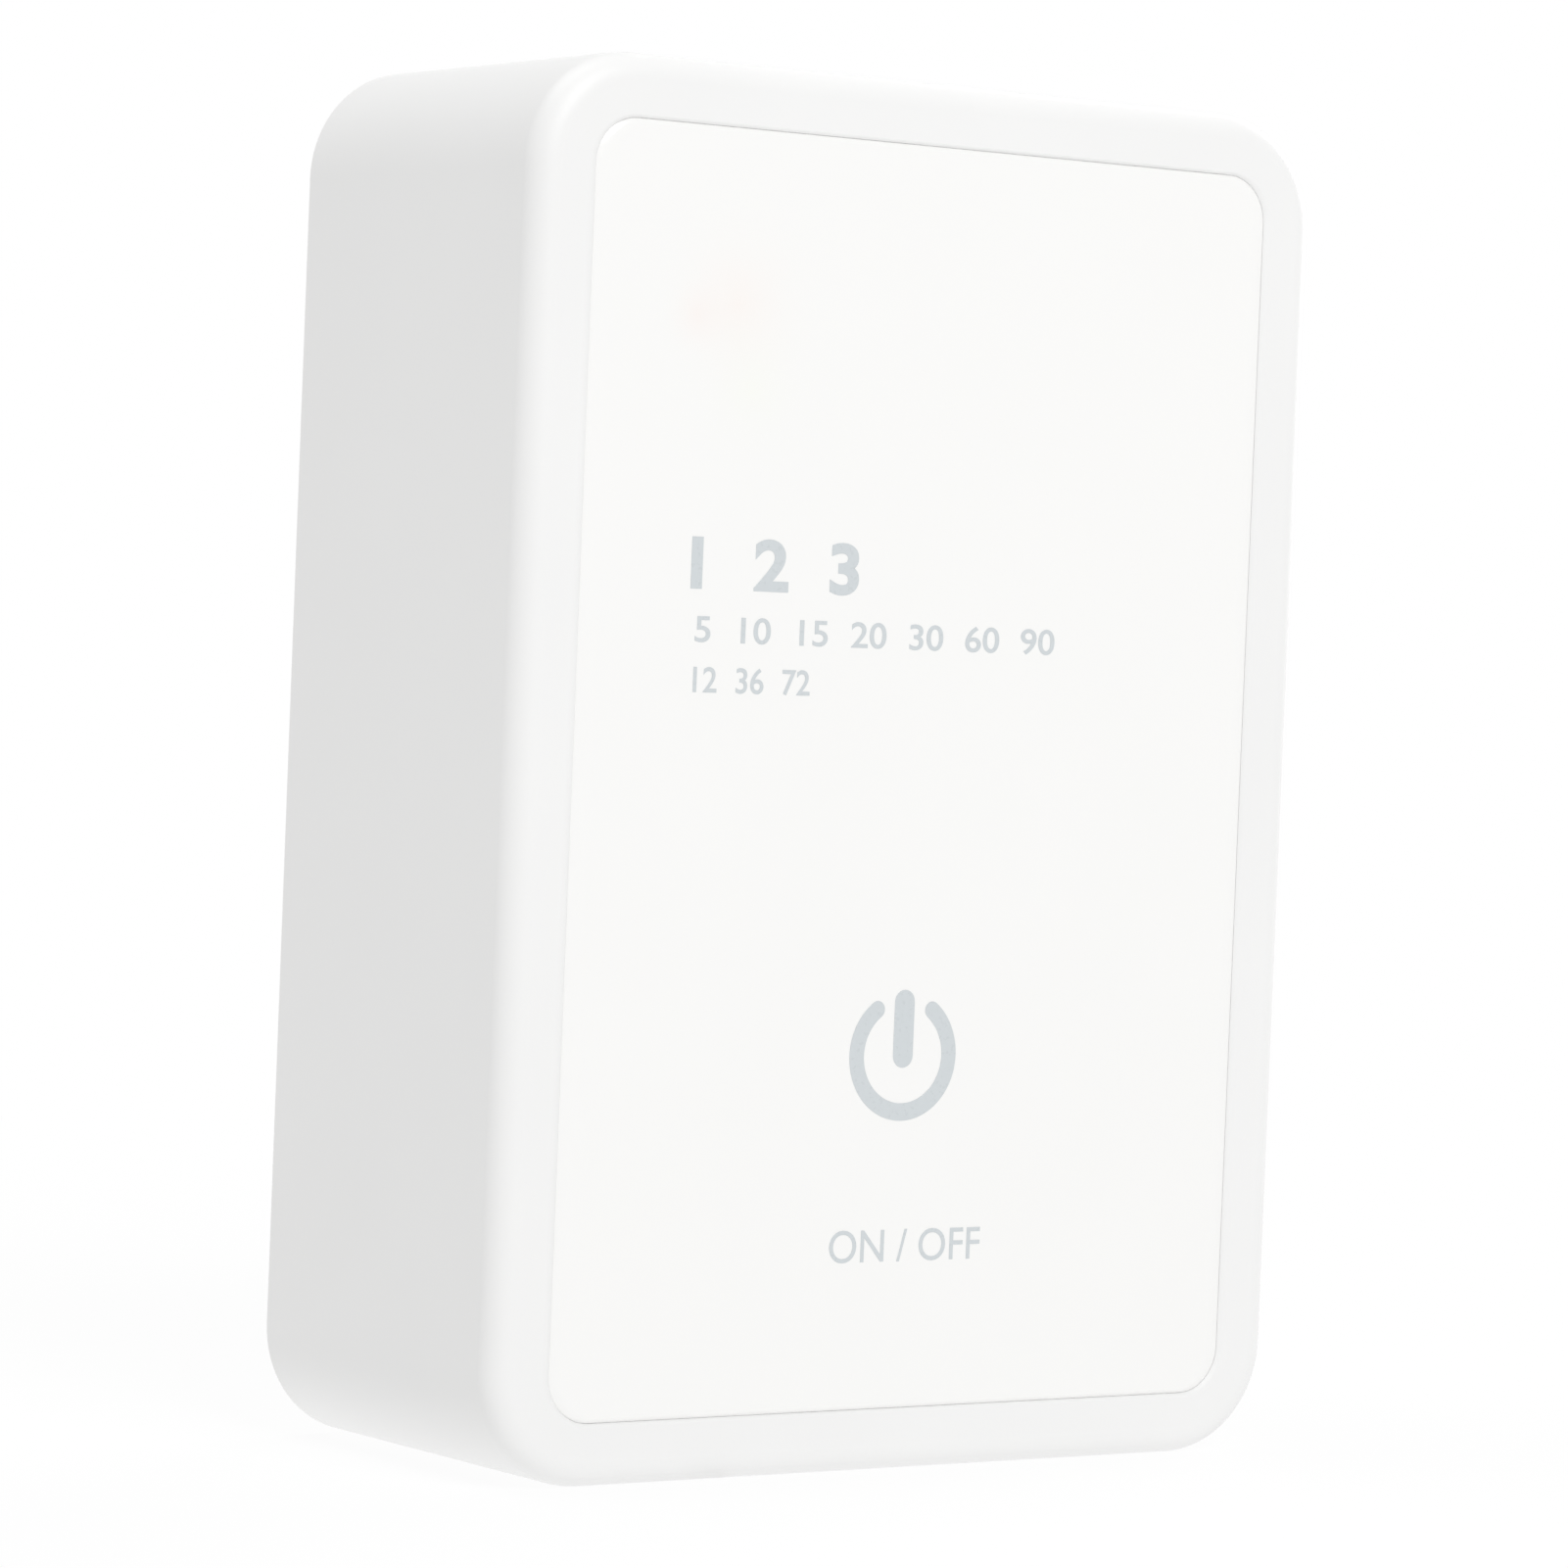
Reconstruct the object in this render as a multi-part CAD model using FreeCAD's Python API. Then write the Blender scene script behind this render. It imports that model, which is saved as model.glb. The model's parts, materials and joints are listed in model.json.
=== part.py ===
import FreeCAD, Part
import math
import os

# Drip irrigation controller: a white case with a flush clear panel in front and a flush cover at
# the back. It holds a small wobble-plate diaphragm pump with its motor, a rechargeable cell and a
# control board. Two hose nozzles come out of the right side.
# Millimetres. X runs to the right, Y to the back and Z up, and the front faces -Y.
# The origin is the middle of the flat underside.

Vector = FreeCAD.Vector
ALONG_X = Vector(1, 0, 0)
ALONG_Y = Vector(0, 1, 0)

# Case
CASE_HEIGHT = 115.0
CASE_CORNER = 9.5
CASE_WALL = 2.4
FRONT_FILLET = 2.2
REAR_RIM = 1.2
FLOOR_THICKNESS = 1.6
COVER_THICKNESS = 2.0
COVER_GAP = 0.15

# Front panel within its bezel, and its adhesive frame
BEZEL_SIDE = 5.6
BEZEL_END = 5.3
PANEL_THICKNESS = 2.0
PANEL_CORNER = 3.9
PANEL_CHAMFER = 0.2
PANEL_GAP = 0.1
RECESS_CORNER = 3.5
TAPE_THICKNESS = 0.2
TAPE_WIDTH = 4.0

# Two cover screws, their bosses and the ribs that the cover rests on
COVER_SCREW_RADIUS = 1.3
COVER_SCREW_LENGTH = 12.0
COVER_HEAD_RADIUS = 2.4
BOSS_RADIUS = 3.2
BOSS_BITE = 0.15
BOSS_INSET = 4.2
PILOT_SPARE = 2.0
LEDGE_RIB_THICKNESS = 1.2
LEDGE_RIB_DEPTH = 1.4
LEDGE_RIB_SPACING = 22.0

# Hooks along the cover's lower edge
HOOK_SPACING = 40.0
HOOK_WIDTH = 8.0
HOOK_THICKNESS = 1.6
HOOK_REACH = 4.4
HOOK_LIP = 2.0
HOOK_BITE = 0.9
HOOK_GAP = 0.2

# Keyholes in the cover
KEYHOLE_SPACING = 40.0
KEYHOLE_DROP = 22.0
KEYHOLE_HEAD_RADIUS = 4.0
KEYHOLE_SLOT_RADIUS = 2.0
KEYHOLE_RISE = 6.5

# Pump body
PUMP_RADIUS = 13.5
PUMP_SIDE_CLEARANCE = 1.4
PUMP_LIFT = 0.25
HEAD_LENGTH = 6.0
HEAD_FLOOR = 2.4
HEAD_WALL = 2.0
OUTLET_CHAMBER_RADIUS = 6.2
CHAMBER_WALL = 1.1
VALVE_PLATE_THICKNESS = 3.0
SHEET_THICKNESS = 1.2
SHEET_MARGIN = 0.3
SEAT_THICKNESS = 4.6
BASE_LENGTH = 12.0
BASE_FLOOR = 2.0
BASE_WALL = 1.8

# Spring clips that hold the pump's layers together
CLIP_WIDTH = 7.0
CLIP_THICKNESS = 0.6
CLIP_FLAT = 0.9
CLIP_HOOK = 1.8
CLIP_GAP = 0.1

# Hose nozzles and their grommets
NOZZLE_SPACING = 9.5
NOZZLE_ROOT_RADIUS = 2.1
NOZZLE_CREST_RADIUS = 2.45
NOZZLE_TIP_RADIUS = 1.95
NOZZLE_BORE_RADIUS = 1.25
NOZZLE_STAND = 0.65
BARB_LAND = 0.8
BARB_SLOPE = 2.2
BARB_COUNT = 2
GROMMET_COLLAR = 2.3
GROMMET_FLANGE = 0.8
GROMMET_FLANGE_RADIUS = 4.3
GROMMET_NECK_RADIUS = 3.5
GROMMET_GAP = 0.02

# Sides of the rings that stand for slanting round walls
RING_SIDES = 24

# Diaphragm cups, their drive and their valves
CUP_COUNT = 3
CUP_CIRCLE = 7.5
CUP_DEPTH = 3.4
CUP_TOP_RADIUS = 4.1
CUP_FOOT_RADIUS = 2.9
CUP_SKIN = 0.7
CUP_BORE_CLEARANCE = 0.4
CUP_FOOT_THICKNESS = 0.9
STEM_RADIUS = 0.95
BULB_RADIUS = 1.5
BULB_LENGTH = 1.5
STEM_GAP = 0.05
WOBBLE_ANGLE = 6.0
WOBBLE_DROP = 1.55
YOKE_THICKNESS = 1.8
YOKE_POST_RADIUS = 2.4
YOKE_POST_ROOF = 0.6
YOKE_ARM_WIDTH = 3.6
CLOVER_CENTRE_RADIUS = 4.6
UMBRELLA_THICKNESS = 0.6
UMBRELLA_RADIUS = 5.6
UMBRELLA_STEM_RADIUS = 0.9
UMBRELLA_STEM_GAP = 0.3
OUTLET_PORT_CIRCLE = 4.7
INLET_PORT_CIRCLE = 9.6
PORT_LENGTH = 0.9
PORT_WIDTH = 1.8
FLAP_INNER_CIRCLE = 7.4
FLAP_OUTER_CIRCLE = 10.2
FLAP_WIDTH = 2.8
FLAP_THICKNESS = 0.5
FLAP_STEM_CIRCLE = 8.2
FLAP_STEM = 1.0
FLAP_BARB = 1.6
FLAP_BARB_RISE = 0.8

# Eccentric pin and hub
PIN_RADIUS = 1.0
PIN_CLEARANCE = 0.04
PIN_PAST_CENTRE = 0.3
PIN_END_GAP = 0.15
PIN_GRIP = 3.2
HUB_RADIUS = 4.2
HUB_BELOW_YOKE = 0.8
HUB_WEB = 0.4
SHAFT_GRIP = 4.4

# Motor
CAN_THICKNESS = 1.0
CAN_LENGTH = 28.0
MOTOR_BOSS_RADIUS = 3.1
MOTOR_BOSS_LENGTH = 1.6
END_CAP_THICKNESS = 2.8
END_BOSS_RADIUS = 4.5
END_BOSS_LENGTH = 2.0
SHAFT_RADIUS = 1.0
SHAFT_CLEARANCE = 0.03
BUSH_RADIUS = 2.0
MAGNET_THICKNESS = 2.2
MAGNET_LENGTH = 17.0
MAGNET_ANGLE = 130.0
AIR_GAP = 0.5
CORE_LENGTH = 13.0
CORE_START = 5.5
CORE_WEB = 2.2
SHOE_THICKNESS = 1.5
SHOE_ANGLE = 96.0
WINDING_WIDTH = 5.4
WINDING_ROOM = 3.2
WINDING_OVERHANG = 1.8
WINDING_MARGIN = 0.4
COMMUTATOR_RADIUS = 3.1
COMMUTATOR_LENGTH = 3.0
COMMUTATOR_GAP = 1.0
SEGMENT_SLIT = 0.4
BRUSH_SIZE = 1.8
BRUSH_GAP = 0.05
BRUSH_ARM = 0.5
TERMINAL_SPACING = 14.0
TERMINAL_WIDTH = 2.4
TERMINAL_THICKNESS = 0.5
TERMINAL_LENGTH = 4.5
MOTOR_SCREW_CIRCLE = 8.0
SCREW_CLEARANCE = 0.1
MOTOR_SCREW_RADIUS = 1.25
MOTOR_HEAD_RADIUS = 2.2
MOTOR_HEAD_DEPTH = 1.5
MOTOR_SCREW_BITE = 0.9
CUSHION_THICKNESS = 1.3
CUSHION_LENGTH = 18.0
CUSHION_START = 8.0
SADDLE_THICKNESS = 2.0
SADDLE_SPACING = 11.0
SADDLE_RISE = 8.5
CLAMP_HALF_HEIGHT = 10.0
CLAMP_DEPTH = 5.0

# Control board
BOARD_STANDOFF = 3.0
BOARD_THICKNESS = 1.6
BOARD_GAP = 0.5
BOARD_CORNER = 1.5
BOARD_BELOW_KEY = 6.0
BOARD_TOP_GAP = 8.6
POST_SIZE = 4.6
POST_INSET = 3.6
BOARD_SCREW_RADIUS = 0.9
BOARD_HEAD_RADIUS = 1.8
BOARD_HEAD_DEPTH = 1.3
BOARD_SCREW_BITE = 2.6

# Touch key, placed above the pump, and status lights, placed from the panel's edges
TOUCH_KEY_SHIFT = -0.7
TOUCH_KEY_ABOVE_PUMP = 3.1
TOUCH_CONTACT_SIZE = 7.6
TOUCH_HOLE_GAP = 0.8
LED_LENGTH = 2.0
LED_WIDTH = 1.25
LED_HEIGHT = 0.8
RED_LED_FROM_LEFT = 10.4
RED_LED_FROM_TOP = 15.0
GREEN_LED_FROM_LEFT = 15.8
GREEN_LED_FROM_TOP = 20.9
WINDOW_SIZE = 3.0
LIGHT_SHIELD_WALL = 1.0

# Radio module, on the board's back
MODULE_WIDTH = 16.0
MODULE_HEIGHT = 24.0
MODULE_THICKNESS = 0.8
MODULE_SHIFT = -8.0
MODULE_TOP_GAP = 0.6
SHIELD_WIDTH = 12.2
SHIELD_HEIGHT = 15.2
SHIELD_RISE = 2.3
SHIELD_FROM_FOOT = 1.2

# Charging socket
USB_WIDTH = 8.94
USB_THICKNESS = 3.2
USB_DEPTH = 7.3
USB_SKIN = 0.3
USB_BACK_WALL = 1.4
USB_TONGUE_WIDTH = 6.7
USB_TONGUE_THICKNESS = 0.7
USB_TONGUE_DEPTH = 4.5
USB_FROM_TOP = 36.0
USB_WALL_GAP = 0.45
PORT_CLEARANCE = 0.5
PORT_RECESS_GROWTH = 1.4
PORT_RECESS_DEPTH = 1.2

# Parts on the board's back. A chip's size is across, up and off the board, and its place is
# its shift from the middle and its drop from the case's inner top.
CHIP_SIZES = [(5.0, 4.0, 1.5), (4.0, 4.0, 1.0), (3.0, 1.7, 1.1)]
CHIP_PLACES = [(10.0, 27.0), (22.0, 43.0), (14.0, 20.0)]
CAPACITOR_RADIUS = 3.15
CAPACITOR_HEIGHT = 5.4
CAPACITOR_BASE = 6.6
CAPACITOR_BASE_HEIGHT = 0.9
CAPACITOR_SHIFT = 20.0
CAPACITOR_FROM_TOP = 26.0
INDUCTOR_SIZE = 5.0
INDUCTOR_HEIGHT = 3.0
INDUCTOR_RADIUS = 2.1
INDUCTOR_SHIFT = 8.0
INDUCTOR_FROM_TOP = 36.0
CONNECTOR_WIDTH = 6.0
CONNECTOR_HEIGHT = 5.0
CONNECTOR_DEPTH = 4.8
CONNECTOR_SKIN = 0.8
MOTOR_CONNECTOR_INSET = 5.45
MOTOR_CONNECTOR_LIFT = 4.4
BATTERY_CONNECTOR_INSET = 13.45
CONNECTOR_BELOW_MODULE = 14.0

# Rechargeable cell, with room past its ends for its tabs and leads
CELL_RADIUS = 9.2
CELL_LENGTH = 65.0
CELL_END_ROOM = 4.85
CELL_BUTTON_RADIUS = 3.2
CELL_BUTTON_LENGTH = 1.0
CELL_ABOVE_PUMP = 8.0
PAD_THICKNESS = 1.2
PAD_LENGTH = 10.0
PAD_WIDTH = 7.0
CRADLE_SPACING = 44.0
CRADLE_THICKNESS = 2.0
CRADLE_WALL = 1.6
CRADLE_GAP = 0.1
TAB_WIDTH = 6.0
TAB_HEIGHT = 12.0
TAB_THICKNESS = 0.25

# Leads
LEAD_RADIUS = 0.65
LEAD_SIDES = 6
LEAD_PITCH = 2.0
MOTOR_LEAD_RUN = 5.0
PLUG_RUN = 4.0
LEAD_BELOW_MODULE = 1.5
BEND_SHARE = 0.45

# Overall width, and the panel
CASE_WIDTH = CELL_LENGTH + 2 * (CELL_END_ROOM + CASE_WALL)
PANEL_WIDTH = CASE_WIDTH - 2 * BEZEL_SIDE
PANEL_HEIGHT = CASE_HEIGHT - 2 * BEZEL_END

# Levels through the depth of the case
INNER_DEPTH = 2 * (PUMP_RADIUS + PUMP_SIDE_CLEARANCE)
CASE_DEPTH = PANEL_THICKNESS + TAPE_THICKNESS + FLOOR_THICKNESS + INNER_DEPTH + COVER_THICKNESS
FRONT_Y = -CASE_DEPTH / 2
REAR_Y = CASE_DEPTH / 2
PANEL_BACK_Y = FRONT_Y + PANEL_THICKNESS
TAPE_BACK_Y = PANEL_BACK_Y + TAPE_THICKNESS
FLOOR_Y = TAPE_BACK_Y + FLOOR_THICKNESS
COVER_Y = REAR_Y - COVER_THICKNESS
BOARD_FRONT_Y = FLOOR_Y + BOARD_STANDOFF
BOARD_BACK_Y = BOARD_FRONT_Y + BOARD_THICKNESS

# Inner walls
INNER_X = CASE_WIDTH / 2 - CASE_WALL
INNER_BOTTOM = CASE_WALL
INNER_TOP = CASE_HEIGHT - CASE_WALL
MIDDLE_Z = CASE_HEIGHT / 2
PANEL_LEFT = -PANEL_WIDTH / 2
PANEL_TOP = MIDDLE_Z + PANEL_HEIGHT / 2

# Pump axis and the levels along it
PUMP_Y = (FLOOR_Y + COVER_Y) / 2
INNER_CORNER = CASE_CORNER - CASE_WALL
CORNER_RISE = INNER_CORNER - math.sqrt(INNER_CORNER ** 2 - (INNER_CORNER - GROMMET_COLLAR) ** 2)
PUMP_Z = INNER_BOTTOM + CORNER_RISE + PUMP_LIFT + PUMP_RADIUS
PUMP_TOP = PUMP_Z + PUMP_RADIUS
HEAD_X = INNER_X - GROMMET_COLLAR
VALVE_PLATE_X = HEAD_X - HEAD_LENGTH
SHEET_X = VALVE_PLATE_X - VALVE_PLATE_THICKNESS
SEAT_X = SHEET_X - SHEET_THICKNESS
BASE_X = SEAT_X - SEAT_THICKNESS
MOTOR_X = BASE_X - BASE_LENGTH
CAN_END_X = MOTOR_X - CAN_LENGTH
NOZZLE_START_X = CASE_WIDTH / 2 + GROMMET_FLANGE + NOZZLE_STAND
INLET_Z = PUMP_Z + NOZZLE_SPACING

# Wobble drive
WOBBLE_X = SEAT_X - WOBBLE_DROP
WOBBLE_CENTRE = Vector(WOBBLE_X, PUMP_Y, PUMP_Z)
CUP_FOOT_X = SEAT_X - CUP_DEPTH
YOKE_BOTTOM_X = CUP_FOOT_X - YOKE_THICKNESS
PIN_TOP_X = WOBBLE_X + PIN_PAST_CENTRE
YOKE_BORE_TOP_X = PIN_TOP_X + PIN_END_GAP
HUB_TOP_X = YOKE_BOTTOM_X - HUB_BELOW_YOKE
PIN_BOTTOM_X = HUB_TOP_X - PIN_GRIP
SHAFT_TOP_X = PIN_BOTTOM_X - HUB_WEB
HUB_BOTTOM_X = SHAFT_TOP_X - SHAFT_GRIP
CUP_ANGLES = [90.0 + 360.0 * i / CUP_COUNT for i in range(CUP_COUNT)]

# Motor, as thick in its cushion as the pump
MOTOR_RADIUS = PUMP_RADIUS - CUSHION_THICKNESS
MAGNET_RADIUS = MOTOR_RADIUS - CAN_THICKNESS
CORE_RADIUS = MAGNET_RADIUS - MAGNET_THICKNESS - AIR_GAP
UNDER_SHOE_RADIUS = CORE_RADIUS - SHOE_THICKNESS - WINDING_MARGIN
COIL_INNER_RADIUS = UNDER_SHOE_RADIUS - WINDING_ROOM
CORE_HUB_RADIUS = COIL_INNER_RADIUS - WINDING_MARGIN
CORE_TOP_X = MOTOR_X - CORE_START
CORE_BOTTOM_X = CORE_TOP_X - CORE_LENGTH
COMMUTATOR_TOP_X = CORE_BOTTOM_X - WINDING_OVERHANG - COMMUTATOR_GAP
COMMUTATOR_BOTTOM_X = COMMUTATOR_TOP_X - COMMUTATOR_LENGTH
END_CAP_X = CAN_END_X + END_CAP_THICKNESS
END_BOSS_X = CAN_END_X - END_BOSS_LENGTH
SHAFT_BOTTOM_X = END_BOSS_X + CAN_THICKNESS
CUSHION_TOP_X = MOTOR_X - CUSHION_START
CUSHION_BOTTOM_X = CUSHION_TOP_X - CUSHION_LENGTH
SADDLE_MIDDLE_X = (CUSHION_TOP_X + CUSHION_BOTTOM_X) / 2
SADDLE_XS = [SADDLE_MIDDLE_X - SADDLE_SPACING / 2, SADDLE_MIDDLE_X + SADDLE_SPACING / 2]

# Cover screws in the top corners, and the keyholes
COVER_SCREWS = [(side * (INNER_X - BOSS_INSET), INNER_TOP - BOSS_INSET) for side in (-1, 1)]
KEYHOLE_Z = INNER_TOP - KEYHOLE_DROP

# Control board, touch key and lights
BOARD_HALF = INNER_X - LEDGE_RIB_DEPTH - BOARD_GAP
TOUCH_Z = PUMP_TOP + TOUCH_KEY_ABOVE_PUMP
BOARD_BOTTOM = TOUCH_Z - BOARD_BELOW_KEY
BOARD_TOP = INNER_TOP - BOARD_TOP_GAP
POST_X = BOARD_HALF - POST_INSET
SCREWED_POSTS = [(-POST_X, BOARD_TOP - POST_INSET), (POST_X, BOARD_BOTTOM + POST_INSET)]
PLAIN_POSTS = [(-x, z) for x, z in SCREWED_POSTS]
LEDS = [(PANEL_LEFT + RED_LED_FROM_LEFT, PANEL_TOP - RED_LED_FROM_TOP),
        (PANEL_LEFT + GREEN_LED_FROM_LEFT, PANEL_TOP - GREEN_LED_FROM_TOP)]
MODULE_TOP = BOARD_TOP - MODULE_TOP_GAP
MODULE_BOTTOM = MODULE_TOP - MODULE_HEIGHT
MODULE_BACK_Y = BOARD_BACK_Y + MODULE_THICKNESS
MOTOR_CONNECTOR_X = -BOARD_HALF + MOTOR_CONNECTOR_INSET
MOTOR_CONNECTOR_Z = BOARD_BOTTOM + MOTOR_CONNECTOR_LIFT
BATTERY_CONNECTOR_X = -BOARD_HALF + BATTERY_CONNECTOR_INSET
BATTERY_CONNECTOR_Z = MODULE_BOTTOM - CONNECTOR_BELOW_MODULE
USB_Z = INNER_TOP - USB_FROM_TOP
USB_Y = BOARD_BACK_Y + USB_THICKNESS / 2
USB_MOUTH_X = INNER_X - USB_WALL_GAP
USB_BACK_X = USB_MOUTH_X - USB_DEPTH

# Cell
CELL_Y = COVER_Y - PAD_THICKNESS - CELL_RADIUS
CELL_Z = PUMP_TOP + CELL_ABOVE_PUMP + CELL_RADIUS
CELL_END = CELL_LENGTH / 2


def block(x0, x1, y0, y1, z0, z1):
    """Box between two corners."""
    return Part.makeBox(x1 - x0, y1 - y0, z1 - z0, Vector(x0, y0, z0))


def rod_x(radius, x0, x1, y=PUMP_Y, z=PUMP_Z):
    """Cylinder along X, on the pump's axis unless placed elsewhere."""
    return Part.makeCylinder(radius, x1 - x0, Vector(x0, y, z), ALONG_X)


def rod_y(radius, y0, y1, x, z):
    """Cylinder along Y."""
    return Part.makeCylinder(radius, y1 - y0, Vector(x, y0, z), ALONG_Y)


def tube_x(radius, bore, x0, x1, y=PUMP_Y, z=PUMP_Z):
    """Ring along X."""
    return rod_x(radius, x0, x1, y, z).cut(rod_x(bore, x0, x1, y, z))


def around(circle, angle):
    """Y and Z of a point on a circle about the pump's axis, with 90 degrees at the top."""
    turn = math.radians(angle)
    return PUMP_Y + circle * math.cos(turn), PUMP_Z + circle * math.sin(turn)


def slab(width, height, corner, y0, y1, x=0.0, z=MIDDLE_Z):
    """Plate across the depth with a rounded rectangular outline."""
    plate = block(x - width / 2, x + width / 2, y0, y1, z - height / 2, z + height / 2)
    upright = [e for e in plate.Edges if abs(e.tangentAt(e.FirstParameter).dot(ALONG_Y)) > 0.99]
    return plate.makeFillet(corner, upright)


def edges_at(shape, y):
    """Edges that lie in the plane at one depth."""
    return [e for e in shape.Edges if all(abs(v.Y - y) < 1e-6 for v in e.Vertexes)
            and abs(e.CenterOfMass.y - y) < 1e-6]


def spun_x(profile, y=PUMP_Y, z=PUMP_Z):
    """Solid of revolution about an axis along X, from points of station and radius."""
    corners = [Vector(x, y, z + radius) for x, radius in profile]
    face = Part.Face(Part.makePolygon(corners + corners[:1]))
    return face.revolve(Vector(0, y, z), ALONG_X, 360)


def outline_x(radius, x, y=PUMP_Y, z=PUMP_Z):
    """Corners of a many-sided ring square to X."""
    step = 2 * math.pi / RING_SIDES
    return [Vector(x, y + radius * math.cos(i * step), z + radius * math.sin(i * step))
            for i in range(RING_SIDES)]


def tapered(foot, top):
    """Flat-sided solid between two rings of corners."""
    faces = [Part.Face(Part.makePolygon(ring + ring[:1])) for ring in (foot, top)]
    for i in range(RING_SIDES):
        faces.append(Part.Face(Part.makePolygon([foot[i - 1], foot[i], top[i], foot[i - 1]])))
        faces.append(Part.Face(Part.makePolygon([foot[i - 1], top[i], top[i - 1], foot[i - 1]])))
    return Part.makeSolid(Part.makeShell(faces)).removeSplitter()


def countersunk(x, z):
    """Flat-headed cover screw, with its head flush with the cover's back."""
    head = Part.makeCone(COVER_HEAD_RADIUS, COVER_SCREW_RADIUS, COVER_THICKNESS, Vector(x, REAR_Y, z),
                         -ALONG_Y)
    return head.fuse(rod_y(COVER_SCREW_RADIUS, REAR_Y - COVER_SCREW_LENGTH, COVER_Y, x, z))


def lean(shape):
    """Tip a shape about the wobble centre, as the eccentric pin stands at rest."""
    return shape.rotated(WOBBLE_CENTRE, ALONG_Y, WOBBLE_ANGLE)


def turned(shape, angle):
    """Turn a shape about the pump's axis, from its place on the axis's +Y side."""
    return shape.rotated(Vector(0, PUMP_Y, PUMP_Z), ALONG_X, angle)


def radial(x0, x1, inner, outer, width, angle):
    """Bar between two distances from the pump's axis, at one angle about it."""
    bar = block(x0, x1, PUMP_Y + inner, PUMP_Y + outer, PUMP_Z - width / 2, PUMP_Z + width / 2)
    return turned(bar, angle)


def squares_y(size, y0, y1, places):
    """Square bars along Y, one at each x and z."""
    return [block(x - size / 2, x + size / 2, y0, y1, z - size / 2, z + size / 2) for x, z in places]


def housing_posts():
    """Screw bosses, board posts and the ribs that carry the cover's edge."""
    root_y = FLOOR_Y - FLOOR_THICKNESS / 2
    posts = [rod_y(BOSS_RADIUS, root_y, COVER_Y, x, z) for x, z in COVER_SCREWS]
    posts += [rod_y(POST_SIZE / 2, root_y, BOARD_FRONT_Y, x, z) for x, z in SCREWED_POSTS]
    posts += squares_y(POST_SIZE, root_y, BOARD_FRONT_Y, PLAIN_POSTS)
    half_rib = LEDGE_RIB_THICKNESS / 2
    for side in (-1, 1):
        near, far = sorted((side * (INNER_X - LEDGE_RIB_DEPTH), side * (INNER_X + BOSS_BITE)))
        for step in (-1, 1):
            z = USB_Z + step * LEDGE_RIB_SPACING / 2
            posts.append(block(near, far, root_y, COVER_Y, z - half_rib, z + half_rib))
        x = side * LEDGE_RIB_SPACING / 2
        posts.append(block(x - half_rib, x + half_rib, root_y, COVER_Y, INNER_TOP - LEDGE_RIB_DEPTH,
                           INNER_TOP + BOSS_BITE))
    return posts


def housing_saddles():
    """Two ribs with a round seat that hold the motor's cushion from the front."""
    seat = rod_x(PUMP_RADIUS, CUSHION_BOTTOM_X, CUSHION_TOP_X)
    saddles = []
    for x in SADDLE_XS:
        rib = block(x - SADDLE_THICKNESS / 2, x + SADDLE_THICKNESS / 2, FLOOR_Y - FLOOR_THICKNESS / 2,
                    PUMP_Y, INNER_BOTTOM - BOSS_BITE, PUMP_Z + SADDLE_RISE)
        saddles.append(rib.cut(seat))
    return saddles


def housing_holes():
    """Windows, ports, pilot holes and the hooks' pockets."""
    holes = squares_y(WINDOW_SIZE, TAPE_BACK_Y, FLOOR_Y, LEDS)
    holes += squares_y(TOUCH_CONTACT_SIZE + 2 * TOUCH_HOLE_GAP, TAPE_BACK_Y, FLOOR_Y,
                       [(TOUCH_KEY_SHIFT, TOUCH_Z)])
    holes += [rod_x(GROMMET_NECK_RADIUS, INNER_X - BOSS_BITE, CASE_WIDTH / 2, PUMP_Y, z)
              for z in (PUMP_Z, INLET_Z)]
    holes.append(usb_body(-PORT_CLEARANCE, INNER_X - BOSS_BITE, CASE_WIDTH / 2))
    holes.append(usb_body(-PORT_CLEARANCE - PORT_RECESS_GROWTH, CASE_WIDTH / 2 - PORT_RECESS_DEPTH,
                          CASE_WIDTH / 2))
    pilot_y = REAR_Y - COVER_SCREW_LENGTH - PILOT_SPARE
    holes += [rod_y(COVER_SCREW_RADIUS, pilot_y, COVER_Y, x, z) for x, z in COVER_SCREWS]
    holes += [rod_y(BOARD_SCREW_RADIUS, BOARD_FRONT_Y - BOARD_SCREW_BITE, BOARD_FRONT_Y, x, z)
              for x, z in SCREWED_POSTS]
    lip_y = COVER_Y - HOOK_REACH
    for x in (-HOOK_SPACING / 2, HOOK_SPACING / 2):
        holes.append(block(x - HOOK_WIDTH / 2 - HOOK_GAP, x + HOOK_WIDTH / 2 + HOOK_GAP,
                           lip_y - HOOK_GAP, lip_y + HOOK_LIP + HOOK_GAP,
                           INNER_BOTTOM - HOOK_BITE - HOOK_GAP, INNER_BOTTOM))
    return holes


def housing():
    """Front shell with its panel recess, inner posts and ports."""
    shell = slab(CASE_WIDTH, CASE_HEIGHT, CASE_CORNER, FRONT_Y, REAR_Y)
    shell = shell.makeFillet(FRONT_FILLET, edges_at(shell, FRONT_Y))
    cavity = slab(2 * INNER_X, INNER_TOP - INNER_BOTTOM, CASE_CORNER - CASE_WALL, FLOOR_Y, REAR_Y)
    rebate = slab(CASE_WIDTH - 2 * REAR_RIM, CASE_HEIGHT - 2 * REAR_RIM, CASE_CORNER - REAR_RIM,
                  COVER_Y, REAR_Y)
    recess = slab(PANEL_WIDTH + 2 * PANEL_GAP, PANEL_HEIGHT + 2 * PANEL_GAP, RECESS_CORNER,
                  FRONT_Y, TAPE_BACK_Y)
    shell = shell.cut([cavity, rebate, recess])
    shell = shell.fuse(housing_posts() + housing_saddles()).removeSplitter()
    return shell.cut(housing_holes())


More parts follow.
